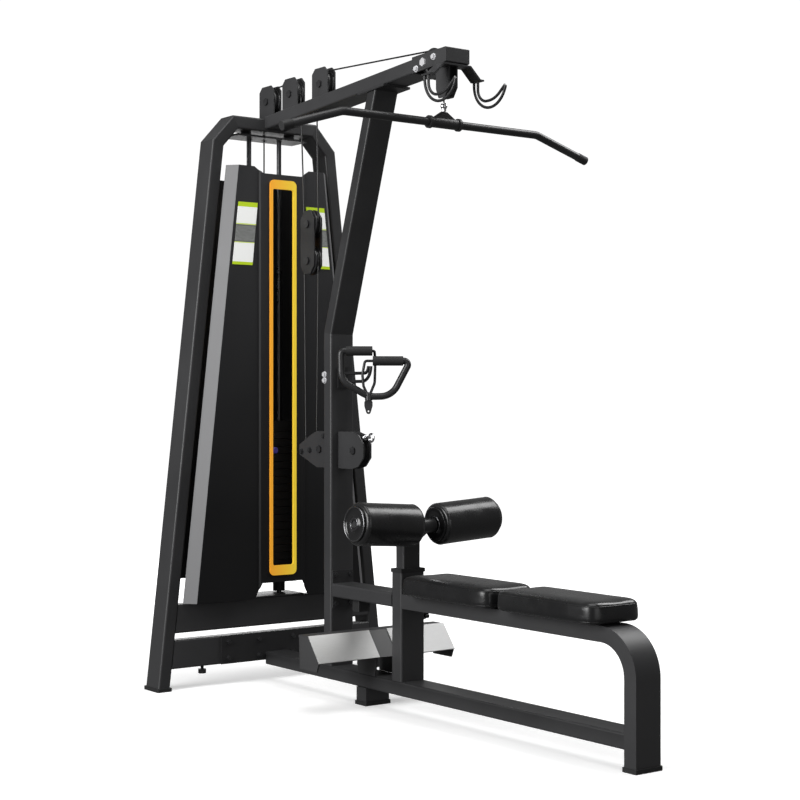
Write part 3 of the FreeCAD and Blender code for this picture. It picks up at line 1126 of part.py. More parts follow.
def bolt_head(name, spot, axis, sign, size):
    """A washer and a hexagon head on a face; sign is the way that the face looks along the axis."""
    index = "XYZ".index(axis)
    starts = []
    for offset, length in (("0", WASHER_T), (WASHER_T, "bolt_h")):
        start = list(spot)
        start[index] = f"({spot[index]})+{offset}" if sign > 0 else f"({spot[index]})-{offset}-{length}"
        starts.append(start)
    washer = rod(f"{name}_washer", starts[0], axis, WASHER_T, f"{size}*1.3")
    return fuse(name, [washer, hexagon(f"{name}_head", starts[1], axis, "bolt_h", size)])


fasteners = []
PLATE_OUT = "cheek_in+cheek_t"
for tag, y, z, out in (("p1", "p1_y", "p1_z", PLATE_OUT), ("p2", "p2_y", "p2_z", PLATE_OUT),
                       ("p3", "p3_y", "p3_z", PLATE_OUT), ("mr", "mr_y", "mid_z", PLATE_OUT),
                       ("mf", "mf_y", "mid_z", PLATE_OUT), ("pe", "pe_y", "pe_z", "tube_d/2")):
    shaft = rod(f"axle_{tag}", (f"-({out})", y, z), "X", f"2*({out})", "axle_r")
    heads = [hexagon(f"axle_head_{tag}_{side}", (start, y, z), "X", "head_h", "head_r")
             for side, start in (("left", f"-({out})-head_h"), ("right", out))]
    fasteners.append(fuse(f"axle_set_{tag}", [shaft] + heads))

faces = []
for x in ("-218", "-78", "78", "218"):
    faces += [((x, "-6", z), "Y", -1, "bolt_r") for z in ("104", "166")]
for x in ("-33", "33"):
    faces += [((x, f"{COL_FRONT}-6", z), "Y", -1, "bolt_r") for z in ("346", "452")]
for sign, out in ((-1, "-tube_d/2"), (1, "tube_d/2")):
    faces += [((out, y, z), "X", sign, "bolt_r") for y, z in (
        ("-1078", "2264"), ("-980", "2238"), ("col_back-10", "peg_z+11"), ("col_back-10", "peg_z-11"))]
for sign, out in ((-1, f"-({PLATE_OUT})"), (1, PLATE_OUT)):
    faces += [((out, y, z), "X", sign, "bolt_r") for y, z in
              (("-271", "mid_z-5"), ("-366", "mid_z+50"), ("anchor_y", "mid_z-12"))]
for number, face in enumerate(faces):
    fasteners.append(bolt_head(f"bolt_{number}", *face))
anchor_pin = rod("anchor_pin", ("-cheek_in", "anchor_y", "mid_z-12"), "X", "2*cheek_in", "7")
anchor_eye = rod("anchor_eye", ("0", "anchor_y", "mid_z-12"), "Z", "11.9", "7")
fasteners.append(fuse("anchor", [anchor_pin, anchor_eye]))
keep(group("bolts", fasteners), "axles_and_bolts")

# ---------------------------------------------------------------- collar on the sleeve
collar = new_body("collar")
pad(collar, "XY", [rect("-tube_d/2-collar_lip", "sleeve_front-collar_lip", "tube_d/2+collar_lip",
                        f"{SLEEVE_BACK}+collar_lip"), SLEEVE_BORE], "sleeve_top+0.1", "collar_top")
rubber.append(collar)
keep(group("rubber_parts", rubber), "rubber_parts")

# ---------------------------------------------------------------- write one STEP file per sub-part
doc.recompute()
broken = [item.Name for item in doc.Objects if "Invalid" in item.State or "Error" in item.State]
broken += [item.Label for item in nodes if item.Shape.isNull() or not item.Shape.isValid()]
if broken:
    raise RuntimeError("unfinished objects: " + ", ".join(broken))
os.makedirs("parts", exist_ok=True)
for item in nodes:
    item.Shape.exportStep(f"parts/{item.Label}.step")
print(len(nodes), "sub-parts written")
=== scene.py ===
import json
import math

import bmesh
import bpy
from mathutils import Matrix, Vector, noise


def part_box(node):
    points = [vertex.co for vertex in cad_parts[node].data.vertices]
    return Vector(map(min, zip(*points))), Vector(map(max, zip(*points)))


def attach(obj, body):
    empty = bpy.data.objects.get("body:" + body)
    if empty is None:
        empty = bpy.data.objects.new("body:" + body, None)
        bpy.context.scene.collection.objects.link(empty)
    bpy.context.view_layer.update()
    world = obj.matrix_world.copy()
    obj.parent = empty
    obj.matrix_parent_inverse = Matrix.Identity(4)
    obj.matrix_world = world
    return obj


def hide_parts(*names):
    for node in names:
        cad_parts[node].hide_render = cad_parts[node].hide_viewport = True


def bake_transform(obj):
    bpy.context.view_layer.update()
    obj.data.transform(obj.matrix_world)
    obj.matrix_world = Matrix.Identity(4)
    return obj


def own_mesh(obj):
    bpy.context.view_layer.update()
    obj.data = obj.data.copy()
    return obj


# ---------------------------------------------------------------- camera
AZIMUTH = math.radians(-36.66)
EYE = Vector((-3.505, -4.578, 1.098))
camera_data = bpy.data.cameras.new("camera")
camera = bpy.data.objects.new("camera", camera_data)
bpy.context.collection.objects.link(camera)
camera.location = EYE
camera.rotation_euler = (math.pi / 2.0, 0.0, AZIMUTH)
camera_data.lens = 74.64
camera_data.sensor_width = 36.0
camera_data.clip_end = 200.0
bpy.context.scene.camera = camera

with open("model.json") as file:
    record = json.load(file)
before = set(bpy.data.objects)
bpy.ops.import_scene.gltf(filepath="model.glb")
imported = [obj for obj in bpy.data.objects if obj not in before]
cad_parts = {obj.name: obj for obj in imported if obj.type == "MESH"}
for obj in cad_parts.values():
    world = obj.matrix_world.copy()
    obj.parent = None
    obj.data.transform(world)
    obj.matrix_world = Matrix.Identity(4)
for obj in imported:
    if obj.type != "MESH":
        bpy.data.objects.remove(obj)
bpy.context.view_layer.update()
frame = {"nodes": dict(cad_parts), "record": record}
record = frame["record"]
scene = bpy.context.scene
scene.view_settings.view_transform = "Standard"
scene.view_settings.look = "None"


# ---------------------------------------------------------------- materials
class Nodes:
    """A material's node tree, with short ways to add and link nodes."""

    def __init__(self, name):
        self.material = bpy.data.materials.new(name)
        self.material.use_nodes = True
        self.tree = self.material.node_tree
        self.shader = self.tree.nodes["Principled BSDF"]

    def add(self, kind, **settings):
        node = self.tree.nodes.new("ShaderNode" + kind)
        for key, value in settings.items():
            setattr(node, key, value)
        return node

    def link(self, source, target):
        self.tree.links.new(source, target)

    def position(self):
        return self.add("TexCoord").outputs["Object"]

    def axes(self):
        """The X, Y and Z outputs of the position, in metres."""
        split = self.add("SeparateXYZ")
        self.link(self.position(), split.inputs["Vector"])
        return tuple(split.outputs[axis] for axis in "XYZ")

    def noise(self, scale, detail=4.0, roughness=0.55, vector=None):
        node = self.add("TexNoise")
        node.inputs["Scale"].default_value = scale
        node.inputs["Detail"].default_value = detail
        node.inputs["Roughness"].default_value = roughness
        self.link(vector or self.position(), node.inputs["Vector"])
        return node.outputs["Fac"]

    def ramp(self, factor, stops):
        """A colour ramp from [(position, colour)]."""
        node = self.add("ValToRGB")
        elements = node.color_ramp.elements
        while len(elements) < len(stops):
            elements.new(0.5)
        for element, (position, colour) in zip(elements, stops):
            element.position = position
            element.color = (*colour, 1.0)
        self.link(factor, node.inputs["Fac"])
        return node.outputs["Color"]

    def span(self, factor, low, high, from_low=0.3, from_high=0.7):
        """Maps a factor from one range to another; the usual source is the middle of a noise."""
        node = self.add("MapRange")
        node.inputs["From Min"].default_value = from_low
        node.inputs["From Max"].default_value = from_high
        node.inputs["To Min"].default_value = low
        node.inputs["To Max"].default_value = high
        self.link(factor, node.inputs["Value"])
        return node.outputs["Result"]

    def mix(self, factor, first, second):
        """Blends two colour outputs."""
        node = self.add("Mix", data_type="RGBA")
        self.link(factor, node.inputs[0])
        for value, socket in ((first, node.inputs[6]), (second, node.inputs[7])):
            if isinstance(value, (tuple, list)):
                socket.default_value = (*value, 1.0)
            else:
                self.link(value, socket)
        return node.outputs[2]

    def math(self, operation, first, second=None):
        node = self.add("Math", operation=operation)
        for value, socket in ((first, node.inputs[0]), (second, node.inputs[1])):
            if value is None:
                continue
            if isinstance(value, (int, float)):
                socket.default_value = value
            else:
                self.link(value, socket)
        return node.outputs[0]

    def bump(self, height, strength, distance=0.001, normal=None):
        node = self.add("Bump")
        node.inputs["Strength"].default_value = strength
        node.inputs["Distance"].default_value = distance
        self.link(height, node.inputs["Height"])
        if normal:
            self.link(normal, node.inputs["Normal"])
        return node.outputs["Normal"]

    def set(self, **sockets):
        """Sets shader sockets: a number or colour goes on the socket itself, an output is linked to it."""
        for key, value in sockets.items():
            socket = self.shader.inputs[key.replace("_", " ")]
            if isinstance(value, (int, float)):
                socket.default_value = value
            elif isinstance(value, (tuple, list)):
                socket.default_value = (*value, 1.0)
            else:
                self.link(value, socket)
        return self.material


def powder_coat(name, colour, roughness=0.42, speck=0.25):
    """Baked powder paint: fine orange peel, slight cloudiness and paler edges, which are a painted
    highlight.
    """
    n = Nodes(name)
    peel = n.noise(900.0, 2.0)
    cloud = n.noise(2.2, 5.0, 0.6)
    light = tuple(min(1.0, c * (1.0 + speck)) for c in colour)
    dark = tuple(c * (1.0 - speck) for c in colour)
    base = n.mix(n.span(cloud, 0.0, 1.0, 0.35, 0.65), dark, light)
    # Convex edges are painted paler: a painted highlight where light catches the edges.
    edge = n.add("NewGeometry").outputs["Pointiness"]
    edge_highlight = n.span(edge, 0.0, 0.35, 0.53, 0.62)
    edge_highlight_colour = tuple(min(1.0, c * 2.6 + 0.01) for c in colour)
    n.set(Base_Color=n.mix(edge_highlight, base, edge_highlight_colour),
          Roughness=n.span(cloud, roughness - 0.05, roughness + 0.07),
          Normal=n.bump(peel, 0.10, 0.0004))
    return n.material


def moulded(name, colour, roughness, grain=0.2, scale=500.0):
    """Moulded plastic or rubber with a fine grain."""
    n = Nodes(name)
    fine = n.noise(scale, 3.0)
    cloud = n.noise(3.0, 4.0)
    base = n.mix(cloud, tuple(c * 0.8 for c in colour), tuple(min(1.0, c * 1.25) for c in colour))
    n.set(Base_Color=base, Roughness=n.span(cloud, roughness - 0.06, roughness + 0.06),
          Normal=n.bump(fine, grain, 0.0006))
    return n.material


def plated(name, colour, roughness):
    """Polished metal plate with faint smudges and ripples."""
    n = Nodes(name)
    smudge = n.noise(6.0, 5.0, 0.6)
    base = n.mix(n.span(smudge, 0.0, 1.0), tuple(c * 0.90 for c in colour), colour)
    n.set(Base_Color=base, Metallic=1.0, Roughness=n.span(smudge, roughness * 0.75, roughness * 1.35),
          Normal=n.bump(n.noise(60.0, 4.0), 0.01, 0.0003))
    return n.material


def brushed(name, left, right, x_left, x_right):
    """Brushed tread plate: hairlines along X, and a colour that changes from one end to the other, which is
    painted light and shade across the treads.
    """
    n = Nodes(name)
    mapping = n.add("Mapping")
    mapping.inputs["Scale"].default_value = (1.0, 40.0, 40.0)
    n.link(n.position(), mapping.inputs["Vector"])
    lines = n.noise(30.0, 6.0, 0.7, mapping.outputs["Vector"])
    # The colour runs across X from one tread to the other: painted light and shade.
    sheen = n.mix(n.span(n.axes()[0], 0.0, 1.0, x_left, x_right), left, right)
    dull = n.mix(n.span(lines, 0.0, 1.0), (0.86, 0.86, 0.86), (1.0, 1.0, 1.0))
    tinted = n.add("Mix", data_type="RGBA", blend_type="MULTIPLY")
    tinted.inputs[0].default_value = 1.0
    n.link(sheen, tinted.inputs[6])
    n.link(dull, tinted.inputs[7])
    n.set(Base_Color=tinted.outputs[2], Metallic=0.35, Roughness=n.span(lines, 0.42, 0.54),
          Normal=n.bump(lines, 0.12, 0.0003))
    return n.material


def vinyl(name, colour, roughness, creases):
    """Glossy upholstery vinyl: pebbled grain, soft creases and a slight sheen."""
    n = Nodes(name)
    cells = n.add("TexVoronoi", feature="DISTANCE_TO_EDGE")
    cells.inputs["Scale"].default_value = 620.0
    n.link(n.position(), cells.inputs["Vector"])
    grain = n.span(cells.outputs["Distance"], 0.0, 1.0, 0.0, 0.18)
    crease = n.noise(12.0, 2.0, 0.5)
    cloud = n.noise(3.5, 4.0)
    base = n.mix(n.span(cloud, 0.0, 1.0), tuple(c * 0.75 for c in colour),
                 tuple(c * 1.3 for c in colour))
    soft = n.bump(crease, creases, 0.004)
    n.set(Base_Color=base, Roughness=n.span(crease, roughness - 0.05, roughness + 0.1),
          Normal=n.bump(grain, 0.03, 0.0004, soft), Sheen_Weight=0.08, Sheen_Roughness=0.4)
    return n.material


def graded(name, low, high, z_low, z_high, roughness):
    """A painted sheet whose colour runs evenly from low to high up its height: a painted shading, darker
    below and lighter toward the top.
    """
    n = Nodes(name)
    amount = n.span(n.axes()[2], 0.0, 1.0, z_low, z_high)
    peel = n.noise(800.0, 2.0)
    cloud = n.noise(2.0, 5.0)
    base = n.mix(amount, low, high)
    n.set(Base_Color=base, Roughness=n.span(cloud, roughness - 0.05, roughness + 0.06),
          Normal=n.bump(peel, 0.12, 0.0004), Specular_IOR_Level=0.3)
    return n.material


def lining(name, left, right, x_half):
    """The moulded slot lining: its colour runs from orange on one side of the slot to yellow on the other, a
    painted shading, and it glows faintly, a painted brightness.
    """
    n = Nodes(name)
    cloud = n.noise(4.0, 4.0)
    base = n.mix(n.span(n.axes()[0], 0.0, 1.0, -x_half, x_half), left, right)
    # The lining glows faintly, and its colour darkens to orange on one side: painted light and shade.
    n.set(Base_Color=base, Emission_Color=base, Emission_Strength=0.25, Roughness=n.span(cloud, 0.34, 0.46),
          Normal=n.bump(n.noise(700.0, 2.0), 0.10, 0.0004))
    return n.material


def placard(name, z_low, z_high):
    """A printed instruction card: pale panels, a grey middle block of small marks and green bands, with a
    faint painted glow that brightens it.
    """
    n = Nodes(name)
    x, _, z = n.axes()
    height = n.span(z, 0.0, 1.0, z_low, z_high)
    white, grey = (0.95, 0.96, 0.94), (0.13, 0.135, 0.13)
    green, pale = (0.50, 0.68, 0.02), (0.62, 0.74, 0.20)
    bands = n.ramp(height, [(0.0, green), (0.045, white), (0.345, pale), (0.36, grey),
                            (0.64, pale), (0.66, white), (0.925, green)])
    bands.node.color_ramp.interpolation = "CONSTANT"
    checks = n.add("TexBrick")
    checks.inputs["Scale"].default_value = 60.0
    checks.inputs["Mortar Size"].default_value = 0.012
    turned = n.add("CombineXYZ")
    n.link(x, turned.inputs["X"])
    n.link(z, turned.inputs["Y"])
    n.link(turned.outputs["Vector"], checks.inputs["Vector"])
    for socket, grey_value in (("Color1", 0.0), ("Color2", 0.25), ("Mortar", 1.0)):
        checks.inputs[socket].default_value = (grey_value, grey_value, grey_value, 1.0)
    in_block = n.math("MULTIPLY", n.math("GREATER_THAN", height, 0.38), n.math("LESS_THAN", height, 0.62))
    marks = n.math("MULTIPLY", n.math("MULTIPLY", in_block, checks.outputs["Color"]), 0.7)
    # The card glows faintly: painted light that brightens the print.
    n.set(Base_Color=n.mix(marks, bands, (0.62, 0.63, 0.62)), Emission_Color=bands,
          Emission_Strength=0.22, Roughness=0.35, Normal=n.bump(n.noise(300.0), 0.03, 0.0003))
    return n.material


def fasteners(name):
    """Blackened bolts and axles, with bright plated ones on the beam's end and the handle's hook."""
    n = Nodes(name)
    _, y, z = n.axes()
    beam_end = n.math("MULTIPLY", n.math("LESS_THAN", y, 0.0), n.math("GREATER_THAN", z, 2.0))
    hook = n.math("MULTIPLY", n.math("GREATER_THAN", z, 1.1), n.math("LESS_THAN", z, 1.3))
    bright = n.math("MAXIMUM", beam_end, hook)
    scuff = n.noise(60.0, 5.0)
    black = n.mix(scuff, (0.014, 0.014, 0.015), (0.040, 0.040, 0.042))
    n.set(Base_Color=n.mix(bright, black, (0.80, 0.80, 0.82)), Metallic=n.math("MULTIPLY", bright, 0.35),
          Roughness=n.span(scuff, 0.18, 0.34), Normal=n.bump(n.noise(420.0), 0.05, 0.0003))
    return n.material


coat = powder_coat("frame_coat", (0.022, 0.022, 0.023))
light_coat = powder_coat("light_coat", (0.105, 0.105, 0.108), 0.45, 0.08)
footrest_coat = powder_coat("footrest_coat", (0.030, 0.030, 0.031), 0.42, 0.12)
steel_black = powder_coat("black_steel", (0.020, 0.020, 0.021), 0.34)
sheet_low, sheet_high = (corner[2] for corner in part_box("shroud_panel"))
# The shroud panel is darker at the bottom and lighter at the top: painted shading.
panel_coat = graded("panel_coat", (0.005, 0.005, 0.0055), (0.030, 0.030, 0.032),
                    sheet_low + 0.3, sheet_high, 0.5)
amber = lining("slot_amber", (1.0, 0.42, 0.03), (1.0, 0.72, 0.05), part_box("slot_trim")[1][0])
card = placard("card", *(corner[2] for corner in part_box("placards")))
chrome = plated("chrome", (0.78, 0.78, 0.80), 0.13)
dark_rods = plated("dark_rods", (0.13, 0.13, 0.135), 0.30)
ring_steel = plated("ring_steel", (0.26, 0.26, 0.27), 0.22)
treads = brushed("tread_steel", (0.58, 0.58, 0.57), (0.62, 0.62, 0.62),
                 *(corner[0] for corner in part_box("footrest_treads")))
iron = moulded("cast_iron", (0.014, 0.014, 0.015), 0.55, 0.5, 240.0)
nylon = moulded("nylon", (0.022, 0.022, 0.023), 0.38, 0.1)
rubber = moulded("rubber", (0.013, 0.013, 0.0135), 0.62, 0.45, 420.0)
jacket = moulded("cable_jacket", (0.012, 0.012, 0.0125), 0.35, 0.2, 900.0)
gloss_black = moulded("gloss_black", (0.012, 0.012, 0.0125), 0.16, 0.04)
hardware = fasteners("fasteners")
violet = moulded("violet_knob", (0.10, 0.08, 0.62), 0.25, 0.05)
seat_vinyl = vinyl("seat_vinyl", (0.009, 0.009, 0.0095), 0.26, 0.035)
roller_vinyl = vinyl("roller_vinyl", (0.012, 0.012, 0.0125), 0.24, 0.03)

# The finish of each material slot, and of the few nodes that look unlike the rest of their slot.
FINISH = {
    "frame_paint": coat, "light_paint": light_coat, "panel_plastic": panel_coat, "slot_yellow": amber,
    "card": card, "chrome": chrome, "dark_steel": steel_black, "iron": iron, "wheel_nylon": nylon,
    "rubber": rubber, "vinyl": seat_vinyl, "foam": roller_vinyl, "tread_steel": treads,
    "cable_jacket": jacket, "grip_rubber": rubber, "knob_violet": violet, "cap_plastic": gloss_black,
}
SPECIAL = {"footrest_body": footrest_coat, "guide_rods": dark_rods, "axles_and_bolts": hardware,
           "shroud_rear": steel_black}
for part in record["subparts"]:
    node = frame["nodes"][part["node"]]
    node.data.materials.clear()
    node.data.materials.append(SPECIAL.get(part["node"], FINISH[part["material_slot"]]))


# ---------------------------------------------------------------- mesh helpers
def new_object(name, mesh, material):
    """A smooth-shaded object in the scene, with one material."""
    obj = bpy.data.objects.new(name, mesh)
    bpy.context.collection.objects.link(obj)
    mesh.materials.append(material)
    for face in mesh.polygons:
        face.use_smooth = True
    return obj


def rings_mesh(name, rings, wrap=False):
    """A skin over rings of equally many points, closed by two end faces or wrapped round to the start."""
    mesh = bpy.data.meshes.new(name)
    count = len(rings[0])
    points = [tuple(p) for ring in rings for p in ring]
    faces = []
    steps = len(rings) if wrap else len(rings) - 1
    for i in range(steps):
        a, b = i * count, ((i + 1) % len(rings)) * count
        for j in range(count):
            k = (j + 1) % count
            faces.append((a + j, a + k, b + k, b + j))
    if not wrap:
        faces.append(tuple(reversed(range(count))))
        faces.append(tuple(range((len(rings) - 1) * count, len(rings) * count)))
    mesh.from_pydata(points, [], faces)
    mesh.validate()
    return mesh


def ring_at(centre, first, second, radius, count):
    """Points of a circle spanned by two unit vectors."""
    return [centre + first * (radius * math.cos(2 * math.pi * j / count))
            + second * (radius * math.sin(2 * math.pi * j / count)) for j in range(count)]


def activate(obj):
    bpy.ops.object.select_all(action="DESELECT")
    obj.select_set(True)
    bpy.context.view_layer.objects.active = obj


def apply_modifier(obj, kind, **settings):
    modifier = obj.modifiers.new(kind.lower(), kind)
    for key, value in settings.items():
        setattr(modifier, key, value)
    activate(obj)
    bpy.ops.object.modifier_apply(modifier=modifier.name)


def strands(name, runs, radius, steps=60, sides=14):
    """Straight lengths of jacketed cable in one mesh, each in many short rings."""
    combined = bmesh.new()
    for start, end in runs:
        start, end = Vector(start), Vector(end)
        run = (end - start).normalized()
        first = run.orthogonal().normalized()
        second = run.cross(first)
        rings = [ring_at(start.lerp(end, i / steps), first, second, radius, sides) for i in range(steps + 1)]
        piece = rings_mesh(name, rings)
        combined.from_mesh(piece)
        bpy.data.meshes.remove(piece)
    mesh = bpy.data.meshes.new(name)
    combined.to_mesh(mesh)
    combined.free()
    return new_object(name, mesh, jacket)


WOBBLE_FROM = 0.06


def turned_loop(name, origin, axis, profile, material, sides=80, wobble=0.0):
    """Turns a closed profile of (distance along axis, radius) about an axis, so that it keeps its bore.

    Points further out than WOBBLE_FROM get soft waves as high as wobble.
    """
    origin, axis = Vector(origin), Vector(axis).normalized()
    first = axis.orthogonal().normalized()
    second = axis.cross(first)
    rings = []
    for along, radius in profile:
        ring = ring_at(origin + axis * along, first, second, radius, sides)
        if wobble and radius > WOBBLE_FROM:
            middle = origin + axis * along
            ring = [p + (p - middle).normalized() * wobble * noise.noise(p * 26.0) for p in ring]
        rings.append(ring)
    return new_object(name, rings_mesh(name, rings, True), material)


def arc_points(centre, radius, start, end, count):
    """Points of an arc in a (distance, radius) profile, angles in degrees."""
    points = []
    for i in range(count + 1):
        angle = math.radians(start + (end - start) * i / count)
        points.append((centre[0] + radius * math.cos(angle), centre[1] + radius * math.sin(angle)))
    return points


# ---------------------------------------------------------------- cables
CABLE_R, GROOVE_R = 0.003, 0.048
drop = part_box("lat_cable_drop")
cord_y = (drop[0][1] + drop[1][1]) / 2.0
lat_drop = strands("lat_drop_cable", [((0, cord_y, drop[1][2]), (0, cord_y, drop[0][2]))], CABLE_R)
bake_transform(lat_drop)
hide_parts("lat_cable_drop")

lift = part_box("stack_cable")
lift_y = (lift[0][1] + lift[1][1]) / 2.0
stack_cord = strands("stack_lift_cable", [((0, lift_y, lift[0][2]), (0, lift_y, lift[1][2]))], CABLE_R)
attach(stack_cord, "frame")
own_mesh(stack_cord)
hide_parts("stack_cable")


def slanted_pair(name, node, top_left, bottom_left, bottom_right, top_right):
    """The two cables between the floating block and the fixed wheels; arguments are Y values."""
    low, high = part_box(node)
    return strands(name, [((0, top_left, high[2]), (0, bottom_left, low[2])),
                          ((0, top_right, high[2]), (0, bottom_right, low[2]))], CABLE_R)


def wheel_y(node, side):
    """Y of the cable where it leaves a wheel, toward +Y (side 1) or -Y (side -1)."""
    low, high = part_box(node)
    return (low[1] + high[1]) / 2.0 + side * GROOVE_R


# The upper pair runs between the fixed wheels and the floating block's upper wheel.
upper_pair = slanted_pair("float_upper_cables", "float_strands_upper",
                          wheel_y("pulley_front", 1), wheel_y("float_wheel_upper", -1),
                          wheel_y("float_wheel_upper", 1), wheel_y("pulley_middle", -1))
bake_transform(upper_pair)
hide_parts("float_strands_upper")

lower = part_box("float_strands_lower")
lower_pair = slanted_pair("float_lower_cables", "float_strands_lower",
                          wheel_y("float_wheel_lower", -1), wheel_y("pulley_mid_rear", 1),
                          lower[1][1] - 0.014, wheel_y("float_wheel_lower", 1))
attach(lower_pair, "frame")
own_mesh(lower_pair)
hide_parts("float_strands_lower")

front_wheel, row_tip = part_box("pulley_mid_front"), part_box("row_end")
row_z = (front_wheel[0][2] + front_wheel[1][2]) / 2.0 + GROOVE_R
row_start = (0, (front_wheel[0][1] + front_wheel[1][1]) / 2.0, row_z)
row_end = (0, row_tip[1][1] - 0.002, row_z)
row_cord = strands("row_cable_run", [(row_start, row_end)], CABLE_R + 0.0001, 40)
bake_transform(row_cord)

# ---------------------------------------------------------------- thigh rollers
TILT = math.radians(3.6)
HUB_Z = 0.662
roller_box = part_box("roller_left")
hub = Vector((0.0, (roller_box[0][1] + roller_box[1][1]) / 2.0, HUB_Z))
FOAM_R, FOAM_IN, FOAM_OUT, EDGE = 0.073, 0.048, 0.293, 0.013
BORE_R, FOAM_BORE_R, CORE_STEPS = 0.0122, 0.0128, 26
flat_start, flat_run = FOAM_IN + EDGE, FOAM_OUT - FOAM_IN - 2 * EDGE
# Each end of the foam steps in under its cap: (distance in from the end, radius).
foam_end = [(0.001, 0.057), (0.005, 0.054), (0.006, 0.030), (0.006, FOAM_BORE_R)]
foam_profile = arc_points((flat_start, FOAM_R - EDGE), EDGE, 180, 90, 8)
foam_profile += [(flat_start + flat_run * i / CORE_STEPS, FOAM_R) for i in range(1, CORE_STEPS)]
foam_profile += arc_points((FOAM_OUT - EDGE, FOAM_R - EDGE), EDGE, 90, 0, 8)
foam_profile += [(FOAM_OUT - inward, radius) for inward, radius in foam_end]
foam_profile += [(FOAM_IN + inward, radius) for inward, radius in reversed(foam_end)]
# Each cap is (distance beyond the foam's end, radius): a rolled rim, a dished middle and a hub.
outer_cap = [(0.0005, BORE_R), (0.0005, 0.0575), (0.0012, 0.0594), (0.0025, 0.0600), (0.0068, 0.0600),
             (0.0084, 0.0592), (0.0090, 0.0574), (0.0082, 0.0552), (0.0060, 0.0530), (0.0040, 0.0505),
             (0.0031, 0.0460), (0.0029, 0.0400), (0.0032, 0.0340), (0.0044, 0.0295), (0.0066, 0.0262),
             (0.0082, 0.0215), (0.0089, 0.0160), (0.0089, BORE_R)]
inner_cap = [(0.0005, BORE_R), (0.0005, 0.0575), (0.0012, 0.0594), (0.0025, 0.0600), (0.0045, 0.0598),
             (0.0058, 0.0585), (0.0062, 0.0560), (0.0048, 0.0530), (0.0032, 0.0490), (0.0030, 0.0360),
             (0.0036, 0.0315), (0.0054, 0.0285), (0.0067, 0.0240), (0.0069, BORE_R)]
outer_cap = [(FOAM_OUT + beyond, radius) for beyond, radius in outer_cap]
inner_cap = [(FOAM_IN - beyond, radius) for beyond, radius in inner_cap]
# Bright rings: (tag, distance along the axis, radius, radius of the wire).
RINGS = (("rim", FOAM_OUT + 0.0074, 0.0572, 0.0024), ("hub", FOAM_OUT + 0.0075, 0.0200, 0.0018),
         ("inner", FOAM_IN - 0.0054, 0.0270, 0.0024))
WELTS = (("inner", FOAM_IN + 0.012), ("outer", FOAM_OUT - 0.012))
WELT_SEAT, WELT_WIRE = FOAM_R - 0.0011, 0.0018
for side, sign in (("left", -1.0), ("right", 1.0)):
    axis = Vector((sign * math.cos(TILT), 0.0, math.sin(TILT)))
    foam = turned_loop(f"roller_cover_{side}", hub, axis, foam_profile, roller_vinyl, 96, 0.0003)
    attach(foam, f"roller_{side}")
    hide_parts(f"roller_{side}")
    for tag, profile in (("outer", outer_cap), ("inner", inner_cap)):
        cap = turned_loop(f"roller_cap_{tag}_{side}", hub, axis, profile, gloss_black)
        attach(cap, f"roller_{side}")
        if tag == "outer":
            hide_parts(f"roller_caps_{side}")
    for tag, along, radius, wire in RINGS:
        ring = turned_loop(f"roller_ring_{tag}_{side}", hub, axis,
                           arc_points((along, radius), wire, 0, 330, 11), ring_steel)
        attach(ring, f"roller_{side}")
    for tag, along in WELTS:
        welt = turned_loop(f"roller_welt_{tag}_{side}", hub, axis,
                           arc_points((along, WELT_SEAT), WELT_WIRE, 0, 330, 9), roller_vinyl, 96)
        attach(welt, f"roller_{side}")

# ---------------------------------------------------------------- seat pads
PAD_INSET, PAD_LOWERED, SWELL_CAP, VOXEL = 0.003, 0.002, 0.003, 0.0055
HELD_BASE, FLAT_BASE, CROWN, SIDE_GAP = 0.006, 0.003, 0.0035, 0.0006
SMOOTH_STEPS, CLOTH_FRAMES = 36, 20
WELT_R, WELT_SUNK, WELT_POINTS = 0.0019, 0.0006, 260
# Each welt's height, as a part of the pad's half height from its centre.
WELT_HEIGHTS = (("upper", 0.52), ("lower", -0.80))
CLOTH = {"quality": 5, "mass": 0.3, "tension_stiffness": 15.0, "compression_stiffness": 15.0,
         "bending_stiffness": 0.6, "vertex_group_mass": "base", "use_pressure": True,
         "uniform_pressure_force": 4.0}


def inflate(obj, base_z, cap):
    """Swells a cushion with cloth pressure while its base stays flat, and limits how far a point moves."""
    held = obj.vertex_groups.new(name="base")
    rest = [vertex.co.copy() for vertex in obj.data.vertices]
    held.add([i for i, point in enumerate(rest) if point.z < base_z + HELD_BASE], 1.0, "REPLACE")
    cloth = obj.modifiers.new("swell", "CLOTH")
    for key, value in CLOTH.items():
        setattr(cloth.settings, key, value)
    cloth.settings.effector_weights.gravity = 0.0
    cloth.point_cache.frame_start, cloth.point_cache.frame_end = 1, CLOTH_FRAMES
    for number in range(1, CLOTH_FRAMES + 1):
        scene.frame_set(number)
    swollen = obj.evaluated_get(bpy.context.evaluated_depsgraph_get()).to_mesh()
    moved = [vertex.co.copy() for vertex in swollen.vertices]
    obj.modifiers.remove(cloth)
    scene.frame_set(1)
    for vertex, before, after in zip(obj.data.vertices, rest, moved):
        step = after - before
        if step.length > cap:
            step *= cap / step.length
        vertex.co = before + step


